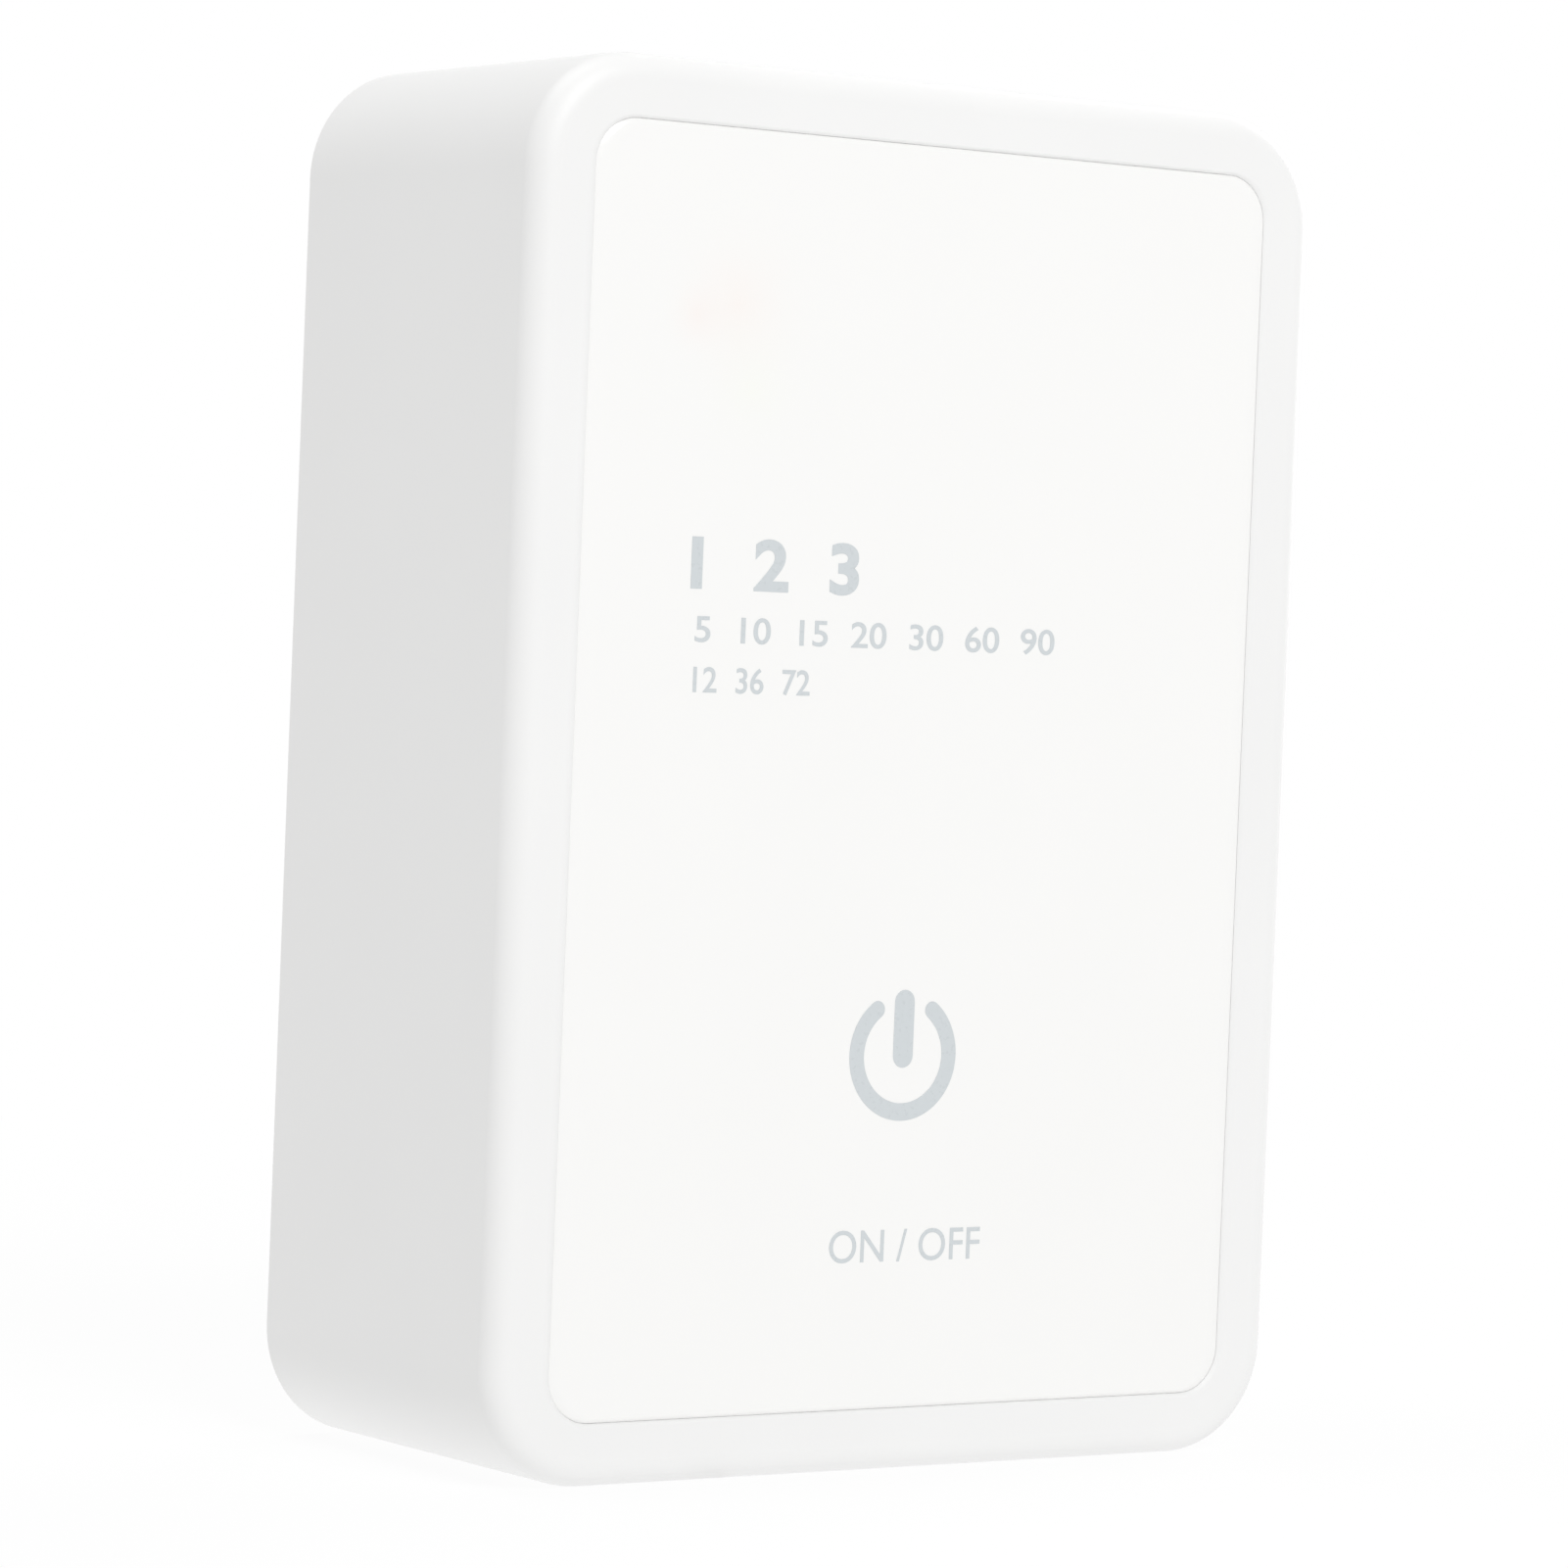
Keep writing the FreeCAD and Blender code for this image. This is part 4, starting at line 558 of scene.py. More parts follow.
class ControllerCase(bpy.types.PropertyGroup):
    corner: bpy.props.FloatProperty(
        name="Corner", description="Radius of the case's upright corners", default=9.5 * MM,
        unit="LENGTH")
    front_edge: bpy.props.FloatProperty(
        name="Front edge", description="Radius between the front and the sides", default=2.2 * MM,
        unit="LENGTH")
    small_edge: bpy.props.FloatProperty(
        name="Small edge", description="Rounding of the sharp edges", default=0.14 * MM, unit="LENGTH")
    rim: bpy.props.FloatProperty(
        name="Rim", description="Width of the rim round the cover", default=1.24 * MM, unit="LENGTH")
    white: bpy.props.FloatVectorProperty(
        name="Case white", description="Colour of the case", default=(0.868, 0.868, 0.863), size=3,
        subtype="COLOR", min=0.0, max=1.0)
    gloss: bpy.props.FloatProperty(
        name="Roughness", description="Roughness of the case's surface", default=0.42, min=0.0, max=1.0,
        subtype="FACTOR")


class ControllerPanel(bpy.types.PropertyGroup):
    corner: bpy.props.FloatProperty(
        name="Corner", description="Radius of the panel's corners", default=3.9 * MM, unit="LENGTH")
    gap: bpy.props.FloatProperty(
        name="Gap", description="Gap round the panel", default=0.02 * MM, unit="LENGTH")
    lip: bpy.props.FloatVectorProperty(
        name="Lip", description="Width of the case's rounded edge round the panel, at its sides and ends",
        default=(0.75 * MM, 0.3 * MM), size=2, unit="LENGTH")
    edge_width: bpy.props.FloatVectorProperty(
        name="Edge width", description="How far in the panel's rounded edge begins, at its sides and ends",
        default=(1.3 * MM, 0.45 * MM), size=2, unit="LENGTH")
    edge_depth: bpy.props.FloatProperty(
        name="Edge depth", description="How far the panel's rounded edge falls back", default=0.24 * MM,
        unit="LENGTH")
    print_white: bpy.props.FloatVectorProperty(
        name="Print white", description="White print behind the panel", default=(0.908, 0.906, 0.894),
        size=3, subtype="COLOR", min=0.0, max=1.0)
    print_grey: bpy.props.FloatVectorProperty(
        name="Print grey", description="Grey of the symbol and the figures",
        default=(0.592, 0.632, 0.652), size=3, subtype="COLOR", min=0.0, max=1.0)
    glow: bpy.props.FloatProperty(
        name="Glow", description="How far the two lights show through the print", default=0.1, min=0.0,
        max=1.0, subtype="FACTOR")


class ControllerStage(bpy.types.PropertyGroup):
    dome: bpy.props.FloatProperty(
        name="Dome", description="Even light from all round", default=0.50, min=0.0)
    key: bpy.props.FloatProperty(
        name="Key", description="Power of the large lamp in front", default=12.5, min=0.0, unit="POWER")
    top: bpy.props.FloatProperty(
        name="Top", description="Power of the large lamp overhead", default=6.4, min=0.0, unit="POWER")
    side: bpy.props.FloatProperty(
        name="Side", description="Power of the lamp on the right", default=3.3, min=0.0, unit="POWER")
    floor_white: bpy.props.FloatProperty(
        name="Floor white", description="Share of the floor that shows plain white near the object",
        default=0.9, min=0.0, max=1.0, subtype="FACTOR")


def settings(context):
    scene = context.scene
    return scene.controller_case, scene.controller_panel, scene.controller_stage


# Case

def case_plug(case, panel):
    """Case without its cavity: recess, bezel, rounded front edge, side and rear rim."""
    wide = PANEL_HIGH.x + panel.gap
    tall = PANEL_HALF_HEIGHT + panel.gap
    corner = panel.corner + panel.gap
    front_edge = case.front_edge
    small_edge = case.small_edge

    def opening(across, along, y):
        return level_ring(wide + across, tall + along, corner + (across + along) / 2, y)

    def side(inset, y):
        return level_ring(HALF_WIDTH - inset, HALF_HEIGHT - inset, case.corner - inset, y)

    rings = [opening(0.0, 0.0, TAPE_BACK)]
    for step in range(LIP_STEPS + 1):
        share = step / LIP_STEPS
        across, along = (width * share for width in panel.lip)
        rings.append(opening(across, along, FRONT + panel.edge_depth * (1 - share) ** 2))
    rings += [side(front_edge * (1 - math.sin(turn)), FRONT + front_edge * (1 - math.cos(turn)))
              for turn in quarter_turns(FRONT_EDGE_STEPS)]
    rings += [side(small_edge * (1 - math.cos(turn)), REAR - small_edge * (1 - math.sin(turn)))
              for turn in quarter_turns(SMALL_EDGE_STEPS)]
    rings += [side(case.rim - small_edge * (1 - math.sin(turn)), REAR - small_edge * (1 - math.cos(turn)))
              for turn in quarter_turns(SMALL_EDGE_STEPS)]
    rings.append(side(case.rim, WALL_END))
    return lofted("case_plug", rings)


def case_hollow(case):
    """Everything inside the wall that the solid housing leaves empty."""
    in_wall = 0.9 * MM
    past_end = 0.05 * MM
    rings = [level_ring(HALF_WIDTH - in_wall, HALF_HEIGHT - in_wall, case.corner - in_wall, y)
             for y in (TAPE_BACK + FLOOR_THICKNESS / 2, WALL_END + past_end)]
    return carved(lofted("case_hollow", rings), [node_mesh("housing")])


def window_cuts():
    """Light windows and the touch opening through the recess's floor."""
    shield_low, shield_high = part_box("light_shields")
    touch_low, touch_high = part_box("touch_contact")
    front = TAPE_BACK - CUT_PAST
    back = TAPE_BACK + 1.0 * MM
    half = 1.48 * MM
    touch_gap = 0.78 * MM
    lights = [(shield_low.x + SHIELD_HALF, shield_high.z - SHIELD_HALF),
              (shield_high.x - SHIELD_HALF, shield_low.z + SHIELD_HALF)]
    cuts = [block_mesh("window", (x - half, front, z - half), (x + half, back, z + half))
            for x, z in lights]
    cuts.append(block_mesh("touch_opening", (touch_low.x - touch_gap, front, touch_low.z - touch_gap),
                           (touch_high.x + touch_gap, back, touch_high.z + touch_gap)))
    return cuts


def slot_ring(x, half_thick, reach, y, z):
    """Round-ended slot across X, taller than wide."""
    ring = []
    for side, start in ((1, 0), (-1, 180)):
        for step in range(SLOT_STEPS + 1):
            turn = math.radians(start + 180.0 * step / SLOT_STEPS)
            ring.append((x, y + half_thick * math.cos(turn),
                         z + side * reach + half_thick * math.sin(turn)))
    return ring


def port_cut():
    """Opening of the charging socket in the right wall: a slot in the floor of a wider recess."""
    middle = (SHELL_LOW + SHELL_HIGH) / 2
    half = (SHELL_HIGH.y - SHELL_LOW.y) / 2
    reach = (SHELL_HIGH.z - SHELL_LOW.z) / 2 - half
    slot = half + 0.48 * MM
    recess = half + 1.88 * MM
    floor = HALF_WIDTH - 1.2 * MM
    flare = 0.12 * MM
    fillet = 0.16 * MM
    mouth_flare = 0.2 * MM
    stations = [(HALF_WIDTH - 1.6 * MM, slot), (floor - flare, slot), (floor, slot + flare),
                (floor, recess - fillet), (floor + fillet, recess), (HALF_WIDTH - 0.14 * MM, recess),
                (HALF_WIDTH - 0.06 * MM, recess + mouth_flare / 5),
                (HALF_WIDTH + CUT_PAST, recess + mouth_flare)]
    return lofted("port_cut", [slot_ring(x, thick, reach, middle.y, middle.z) for x, thick in stations])


def nozzle_hole_cuts():
    """The grommets' two holes through the right wall, eased at their mouths."""
    y = (GROMMET_LOW.y + GROMMET_HIGH.y) / 2
    radius = 3.48 * MM
    mouth_radius = 3.7 * MM
    profile = [(HALF_WIDTH - 1.4 * MM, radius), (HALF_WIDTH - 0.1 * MM, radius),
               (HALF_WIDTH + CUT_PAST, mouth_radius)]
    return [spun("nozzle_hole", profile, y, z)
            for z in (GROMMET_LOW.z + GROMMET_RADIUS, GROMMET_HIGH.z - GROMMET_RADIUS)]


class CONTROLLER_OT_case(bpy.types.Operator):
    """Front shell with its recess, rounded front edge, ports and inner ribs"""
    bl_idname = "controller.case"
    bl_label = "Case"

    def execute(self, context):
        case, panel, _ = settings(context)
        cuts = [case_hollow(case)] + window_cuts() + nozzle_hole_cuts() + [port_cut()]
        shell = carved(case_plug(case, panel), cuts)
        smooth(shell, 28.0)
        piece("case_shell", even(object_of(shell)), case_finish(case), ["housing"])
        return {"FINISHED"}


# Panel and its print

def plate_rings(panel):
    """Rounded plate whose face falls away ever faster towards its rim."""
    front = FRONT + PRINT_DEPTH
    rings = []
    for step in range(PLATE_EDGE_STEPS + 1):
        share = step / PLATE_EDGE_STEPS
        across, along = (width * (1 - share) for width in panel.edge_width)
        rings.append(level_ring(PANEL_HIGH.x - across, PANEL_HALF_HEIGHT - along,
                                panel.corner - (across + along) / 2, front + panel.edge_depth * share ** 2))
    rings.append(level_ring(PANEL_HIGH.x, PANEL_HALF_HEIGHT, panel.corner, PANEL_HIGH.y))
    return rings


class CONTROLLER_OT_panel(bpy.types.Operator):
    """Clear front plate with its white back print and polished edge"""
    bl_idname = "controller.panel"
    bl_label = "Front panel"

    def execute(self, context):
        panel = settings(context)[1]
        mesh = lofted("front_plate", plate_rings(panel))
        smooth(mesh, 40.0)
        piece("front_plate", even(object_of(mesh)), panel_finish(panel), ["front_panel"])
        dress("panel_tape", moulded("tape_foam", (0.72, 0.72, 0.7), 0.8, 5200.0, 0.05))
        return {"FINISHED"}


def stroke(bm, points, half):
    """Flat stroke along a line of x and z, with round ends, on the panel's face."""
    def corner(x, z):
        return bm.verts.new((x, FRONT, z))

    sides = []
    for i, (x, z) in enumerate(points):
        ahead = points[min(i + 1, len(points) - 1)]
        behind = points[max(i - 1, 0)]
        way = math.atan2(ahead[1] - behind[1], ahead[0] - behind[0])
        across = half * math.sin(way), half * math.cos(way)
        sides.append((corner(x - across[0], z + across[1]), corner(x + across[0], z - across[1]), way))
    for (left, right, _), (next_left, next_right, _) in zip(sides, sides[1:]):
        bm.faces.new((left, right, next_right, next_left))
    for (x, z), (left, right, way), turn in ((points[0], sides[0], 0.0), (points[-1], sides[-1], math.pi)):
        first, last = (left, right) if turn == 0.0 else (right, left)
        fan = [first]
        for i in range(1, STROKE_END_STEPS):
            angle = way + turn + math.pi / 2 + math.pi * i / STROKE_END_STEPS
            fan.append(corner(x + half * math.cos(angle), z + half * math.sin(angle)))
        bm.faces.new(fan + [last])


def thickened(name, bm):
    """Thin print from flat faces, sunk into the plate by its own depth."""
    bmesh.ops.remove_doubles(bm, verts=bm.verts, dist=1e-7)
    grown = bmesh.ops.extrude_face_region(bm, geom=bm.faces[:])
    for item in grown["geom"]:
        if isinstance(item, bmesh.types.BMVert):
            item.co.y += 2 * PRINT_DEPTH
    mesh = finished_mesh(name, bm)
    mesh.polygons.foreach_set("use_smooth", [False] * len(mesh.polygons))
    return mesh


def standby_symbol():
    """Ring that is open at the top, with an upright bar in its mouth."""
    x, z = -0.70 * MM, 34.62 * MM
    outer, inner = 5.42 * MM, 3.97 * MM
    mouth_left, mouth_right, mouth_z = -3.5 * MM, 2.24 * MM, 38.5 * MM
    bar_low, bar_high, bar_half = 33.6 * MM, 40.06 * MM, 1.0 * MM
    middle = (outer + inner) / 2
    start = math.atan2(mouth_z - z, mouth_left - x)
    end = math.atan2(mouth_z - z, mouth_right - x) + 2 * math.pi
    turns = [start + (end - start) * i / SYMBOL_STEPS for i in range(SYMBOL_STEPS + 1)]
    bm = bmesh.new()
    stroke(bm, [(x + middle * math.cos(turn), z + middle * math.sin(turn)) for turn in turns],
           (outer - inner) / 2)
    stroke(bm, [(x, bar_low + bar_half), (x, bar_high - bar_half)], bar_half)
    return thickened("standby_symbol", bm)


def figures(name, *rows):
    """Rows of plain figures, each fitted between two corners of x and z in millimetres."""
    bm = bmesh.new()
    for words, (low_x, low_z), (high_x, high_z), weight in rows:
        curve = bpy.data.curves.new("row", "FONT")
        curve.body = words
        curve.offset = weight
        curve.resolution_u = 6
        curve.fill_mode = "FRONT"
        mesh = evaluated(object_of(curve))
        xs = [vertex.co.x for vertex in mesh.vertices]
        ys = [vertex.co.y for vertex in mesh.vertices]
        left, foot = min(xs), min(ys)
        x_scale = (high_x - low_x) * MM / (max(xs) - left)
        z_scale = (high_z - low_z) * MM / (max(ys) - foot)
        for vertex in mesh.vertices:
            x, y, _ = vertex.co
            vertex.co = (low_x * MM + (x - left) * x_scale, FRONT, low_z * MM + (y - foot) * z_scale)
        bm.from_mesh(mesh)
    return thickened(name, bm)


class CONTROLLER_OT_print(bpy.types.Operator):
    """Standby symbol and plain figures printed on the panel"""
    bl_idname = "controller.print"
    bl_label = "Panel print"

    def execute(self, context):
        ink = print_finish(settings(context)[1])
        piece("standby_symbol", standby_symbol(), ink)
        rows = figures("panel_figures", ("1  2  3", (-23.7, 72.4), (-7.1, 76.7), 0.03),
                       ("5  10  15  20  30  60  90", (-23.1, 68.15), (13.3, 70.3), 0.008),
                       ("12  36  72", (-23.1, 64.1), (-11.6, 66.2), 0.008))
        piece("panel_figures", rows, ink)
        label = figures("on_off_label", ("ON / OFF", (-7.4, 17.5), (8.0, 20.2), 0.0))
        piece("on_off_label", label, ink)
        return {"FINISHED"}


# Back

class CONTROLLER_OT_cover(bpy.types.Operator):
    """Flush rear cover with its keyholes, ribs and hooks"""
    bl_idname = "controller.cover"
    bl_label = "Rear cover"

    def execute(self, context):
        softened_piece("cover_plate", "rear_cover", 0.18 * MM, bpy.data.materials["case_white"])
        return {"FINISHED"}


def screw_mesh(name, head, shank, length, head_depth, countersunk, recess):
    """Cross-head screw that points to -Y, with its head's top at the origin."""
    point = 0.0001 * MM
    root = shank * 0.8
    pitch = 0.7 * MM
    profile = [(0.0, point), (0.0, head - 0.1 * MM), (-0.1 * MM, head)]
    if countersunk:
        profile += [(-0.25 * MM, head), (-head_depth, shank * 1.05)]
    else:
        profile += [(-head_depth, head), (-head_depth, shank)]
    level = -head_depth - 0.3 * MM
    for _ in range(int((length - head_depth) / pitch)):
        profile += [(level, root), (level - 0.2 * MM, shank), (level - 0.3 * MM, shank),
                    (level - 0.5 * MM, root)]
        level -= pitch
    profile.append((-length, point))
    body = turned_to_y(spun(name, [place for place in profile if place[0] >= -length], sides=32))
    arm_width = recess * 0.28
    arm_depth = head_depth * 0.65
    levels = ((CUT_PAST, 1.0), (-arm_depth, 0.55))
    arms = []
    for wide, tall in ((recess, arm_width), (arm_width, recess)):
        corners = ((wide, tall), (-wide, tall), (-wide, -tall), (wide, -tall))
        rings = [[(x * share, y, z * share) for x, z in corners] for y, share in levels]
        arms.append(lofted("cross_arm", rings))
    cut = carved(body, arms)
    smooth(cut, 30.0)
    return cut


def screws(node, steel, head, shank, head_depth, countersunk, recess, sunk, short, seed):
    """Screws at two opposite corners of their solids' box, each turned by chance."""
    low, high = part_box(node)
    template = screw_mesh(node + "_template", head - 0.02 * MM, shank, high.y - low.y - short, head_depth,
                          countersunk, recess)
    places = [(low.x + head, high.y - sunk, high.z - head), (high.x - head, high.y - sunk, low.z + head)]
    mesh = repeated(node + "_cross", template, places, steel, most_turn=1.4, seed=seed)
    piece(node + "_cross", mesh, steel, [node])


class CONTROLLER_OT_screws(bpy.types.Operator):
    """Cross-head screws of the cover, the board and the motor"""
    bl_idname = "controller.screws"
    bl_label = "Screws"

    def execute(self, context):
        steel = metal("screw_steel", (0.66, 0.66, 0.67), 0.26, (1.0, 0.2, 1.0), 1500.0)
        screws("cover_screws", steel, COVER_HEAD_RADIUS, shank=1.28 * MM, head_depth=2.0 * MM,
               countersunk=True, recess=1.35 * MM, sunk=0.05 * MM, short=0.05 * MM, seed=3)
        screws("board_screws", steel, BOARD_HEAD_RADIUS, shank=0.88 * MM, head_depth=1.3 * MM,
               countersunk=False, recess=1.0 * MM, sunk=0.0, short=0.02 * MM, seed=5)
        dress("motor_screws", steel)
        return {"FINISHED"}


# Right side

class CONTROLLER_OT_nozzles(bpy.types.Operator):
    """Hose nozzles with their barbs, the pump's head and the rubber grommets"""
    bl_idname = "controller.nozzles"
    bl_label = "Hose nozzles"

    def execute(self, context):
        softened_piece("head_with_nozzles", "pump_head", 0.1 * MM,
                       moulded("pump_white", (0.78, 0.78, 0.76), 0.36, 1800.0, 0.02))
        softened_piece("rubber_grommets", "nozzle_grommets", 0.2 * MM,
                       rubber("grommet_rubber", (0.075, 0.078, 0.08)), 3)
        return {"FINISHED"}


def socket_contacts(gold):
    """Contacts along both faces of the socket's tongue."""
    low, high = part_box("usb_tongue")
    middle = (low + high) / 2
    half = Vector((1.7, 0.02, 0.14)) * MM
    from_mouth = 2.0 * MM
    from_middle = 0.36 * MM
    count = 12
    pitch = 0.5 * MM
    places = [(high.x - from_mouth, middle.y + side * from_middle, middle.z + (i - (count - 1) / 2) * pitch)
              for side in (-1, 1) for i in range(count)]
    return repeated("socket_contacts", block_mesh("contact", -half, half), places, gold)


class CONTROLLER_OT_socket(bpy.types.Operator):
    """Charging socket with its folded shell and contact tongue"""
    bl_idname = "controller.socket"
    bl_label = "Charging socket"

    def execute(self, context):
        softened_piece("socket_shell", "usb_shell", 0.06 * MM,
                       metal("socket_steel", (0.72, 0.72, 0.71), 0.22, (0.2, 1.0, 1.0)))
        softened_piece("socket_tongue", "usb_tongue", 0.06 * MM,
                       moulded("socket_black", (0.03, 0.03, 0.032), 0.45))
        gold = metal("contact_gold", (0.83, 0.62, 0.27), 0.2, (0.3, 1.0, 1.0))
        piece("socket_contacts", socket_contacts(gold), gold)
        return {"FINISHED"}


# Inside

def inner_finishes():
    """Material of each solid that stays as it is."""
    drive = moulded("drive_white", (0.74, 0.74, 0.71), 0.3, 1600.0, 0.02)
    pump = bpy.data.materials["pump_white"]
    valve = rubber("valve_rubber", (0.045, 0.045, 0.048), 0.5)
    bright = metal("shaft_steel", (0.7, 0.7, 0.71), 0.16, (1.0, 8.0, 8.0), 700.0, 0.05)
    spring = metal("spring_steel", (0.62, 0.61, 0.58), 0.24, (0.2, 1.0, 1.0))
    can = metal("can_steel", (0.6, 0.6, 0.6), 0.3, (0.15, 1.0, 1.0), 1200.0)
    brass = metal("contact_brass", (0.75, 0.58, 0.27), 0.3)
    copper = metal("brush_copper", (0.72, 0.37, 0.2), 0.34)
    core = metal("core_steel", (0.32, 0.32, 0.33), 0.42, (12.0, 1.0, 1.0), 700.0)
    chip = moulded("chip_black", (0.022, 0.022, 0.024), 0.5, 5200.0, 0.03)
    plug = moulded("connector_white", (0.76, 0.74, 0.66), 0.4, 2400.0)
    foam = moulded("pad_foam", (0.05, 0.05, 0.055), 0.85, 5200.0, 0.08)
    return {
        "outlet_valve": valve, "inlet_valves": valve, "valve_plate": pump, "diaphragm_seat": pump,
        "pump_base": pump, "wobble_yoke": drive, "eccentric_hub": drive, "eccentric_pin": bright,
        "motor_shaft": bright, "pump_clips": spring, "battery_tabs": spring, "motor_can": can,
        "motor_end_cap": chip, "motor_terminals": brass, "motor_bushes": brass, "motor_brushes": copper,
        "commutator": copper, "armature_core": core,
        "motor_magnets": moulded("magnet_ceramic", (0.035, 0.033, 0.033), 0.6, 4200.0, 0.04),
        "motor_cushion": rubber("cushion_rubber", (0.03, 0.03, 0.032), 0.6),
        "module_shield": metal("shield_tin", (0.66, 0.66, 0.64), 0.34, (1.0, 1.0, 0.3)),
        "wifi_module": moulded("module_laminate", (0.02, 0.05, 0.11), 0.35, 2200.0),
        "touch_contact": moulded("contact_foam", (0.16, 0.16, 0.17), 0.75, 3800.0, 0.06),
        "status_leds": moulded("light_clear", (0.8, 0.78, 0.6), 0.2, 2400.0, 0.01),
        "light_shields": foam, "battery_pads": foam, "board_chips": chip,
        "storage_capacitor": metal("capacitor_aluminium", (0.76, 0.76, 0.76), 0.3, (1.0, 0.2, 1.0)),
        "charge_inductor": moulded("inductor_ferrite", (0.06, 0.06, 0.065), 0.55, 3200.0, 0.04),
        "battery_connector": plug, "motor_connector": plug,
        "battery_leads": moulded("lead_red", (0.42, 0.03, 0.03), 0.36, 1500.0),
        "motor_leads": moulded("lead_black", (0.03, 0.03, 0.032), 0.36, 1500.0),
        "circuit_board": board_finish(), "battery_cell": cell_finish(),
        "armature_windings": metal("winding_copper", (0.62, 0.24, 0.09), 0.3, (0.05, 3.0, 3.0), 1600.0),
    }


def board_finish():
    """Green laminate with fields of straight buried tracks and a woven core."""
    finish = Finish("board_green", Coat_Weight=0.25, Coat_Roughness=0.2)
    track_pitch = 1.3 * MM
    weave = finish.node("ShaderNodeTexBrick", {}, {
        "Vector": finish.place, "Scale": 420.0, "Mortar Size": 0.012}, output="Fac")
    fields = finish.node("ShaderNodeTexVoronoi", {"feature": "F1", "distance": "CHEBYCHEV"}, {
        "Vector": finish.stretched(1.0, 0.0, 1.0), "Scale": 95.0, "Randomness": 0.6}, output="Color")
    field = finish.node("ShaderNodeSeparateColor", {}, {0: fields})

    def tracks(axis):
        step = finish.math("FRACT", finish.along(axis) / track_pitch)
        return finish.between(step, 0.24, 0.32, 1.0, 0.0)

    turned = finish.between(field, 0.45, 0.46)
    filled = finish.between(field, 0.84, 0.85)
    line = (tracks(0) * turned + tracks(2) * (1.0 - turned)) * (1.0 - filled) + filled
    finish.colour(finish.blend(line * 0.6 + weave * 0.1, (0.012, 0.10, 0.045), (0.03, 0.21, 0.09)))
    finish.rough(finish.between(line, 0.0, 1.0, 0.34, 0.26))
    finish.bump(line + weave * 0.2, 0.35, 0.035 * MM)
    return finish.material


def cell_finish():
    """Printed shrink sleeve over the cell's can, bare at its ends."""
    finish = Finish("cell_sleeve", Coat_Weight=0.5, Coat_Roughness=0.18)
    shine = finish.noise(500.0, 4.0, 0.6, finish.stretched(0.1, 1.0, 1.0))
    ends = finish.between(finish.math("ABSOLUTE", finish.along(0)), 31.0 * MM, 31.2 * MM)
    sleeve = finish.blend(finish.between(shine, 0.3, 0.7), (0.02, 0.075, 0.22), (0.03, 0.1, 0.28))
    finish.colour(finish.blend(ends, sleeve, (0.62, 0.62, 0.6)))
    finish.feed("Metallic", ends)
    finish.rough(finish.between(shine, 0.3, 0.7, 0.28, 0.4))
    finish.bump(shine, 0.2, 0.03 * MM)
    return finish.material


def one_side(mesh, point, normal, ahead):
    """Closed part of a mesh on one side of a plane."""
    bm = bmesh.new()
    bm.from_mesh(mesh)
    cut = bmesh.ops.bisect_plane(bm, geom=bm.verts[:] + bm.edges[:] + bm.faces[:], dist=1e-7,
                                 plane_co=point, plane_no=normal, clear_inner=ahead,
                                 clear_outer=not ahead)
    rims = [item for item in cut["geom_cut"] if isinstance(item, bmesh.types.BMEdge)]
    bmesh.ops.edgeloop_fill(bm, edges=[edge for edge in rims if edge.is_boundary])
    part = bpy.data.meshes.new(mesh.name + "_part")
    bm.to_mesh(part)
    bm.free()
    if not part.polygons:
        raise RuntimeError("the plane misses " + mesh.name)
    return part


def diaphragm_parts():
    """The sheet with its cups, and the stems from inside the yoke's arms down, which move with it."""
    under_foot = 0.03 * MM
    in_arm = 1.6 * MM
    joint = next(joint for joint in frame["joints"] if joint["name"] == "yoke_wobble")
    way = Vector(joint["axis"]).normalized()
    foot = Vector(joint["pos_m"]) - way * CUP_FOOT_DROP
    whole = softened(node_mesh("diaphragm"), 0.08 * MM)
    return (one_side(whole, foot - way * under_foot, way, True),
            one_side(whole, foot - way * in_arm, way, False))


def bodies_of(node):
    """Lowest and highest corner of each separate body of a solid, in order."""
    bm = bmesh.new()
    bm.from_mesh(node_mesh(node))
    left = set(bm.verts)
    boxes = []
    while left:
        ahead = [left.pop()]
        points = []
        while ahead:
            vertex = ahead.pop()
            points.append(vertex.co.copy())
            for edge in vertex.link_edges:
                other = edge.other_vert(vertex)
                if other in left:
                    left.remove(other)
                    ahead.append(other)
        boxes.append(tuple(Vector(pick(point[i] for point in points) for i in range(3))
                           for pick in (min, max)))
    bm.free()
    return sorted(boxes, key=lambda box: tuple(box[0]))


def joints_beside(low, high, pitch):
    """Places along the two upright edges of a box on the board."""
    count = max(2, int((high.z - low.z) / pitch))
    middle = (high.z + low.z) / 2
    return [(x, BOARD_BACK, middle + (i - (count - 1) / 2) * pitch)
            for x in (low.x, high.x) for i in range(count)]


def solder_joints():
    """Low round joint, and its places beside the chips, the module and the larger parts."""
    profile = [(-0.05 * MM, 0.42 * MM), (0.0, 0.42 * MM), (0.14 * MM, 0.36 * MM), (0.25 * MM, 0.22 * MM),
               (0.29 * MM, 0.02 * MM)]
    joint = turned_to_y(spun("joint", profile, sides=12))
    smooth(joint, 60.0)
    places = []
    for low, high in bodies_of("board_chips"):
        places += joints_beside(low, high, 0.95 * MM)
    aerial = Vector((0.0, 0.0, 6.0 * MM))
    low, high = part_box("wifi_module")
    places += joints_beside(low, high - aerial, 1.5 * MM)
    for node, pitch in (("battery_connector", 3.0 * MM), ("motor_connector", 3.0 * MM),
                        ("charge_inductor", 2.0 * MM), ("storage_capacitor", 2.0 * MM)):
        places += joints_beside(*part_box(node), pitch)
    return joint, places


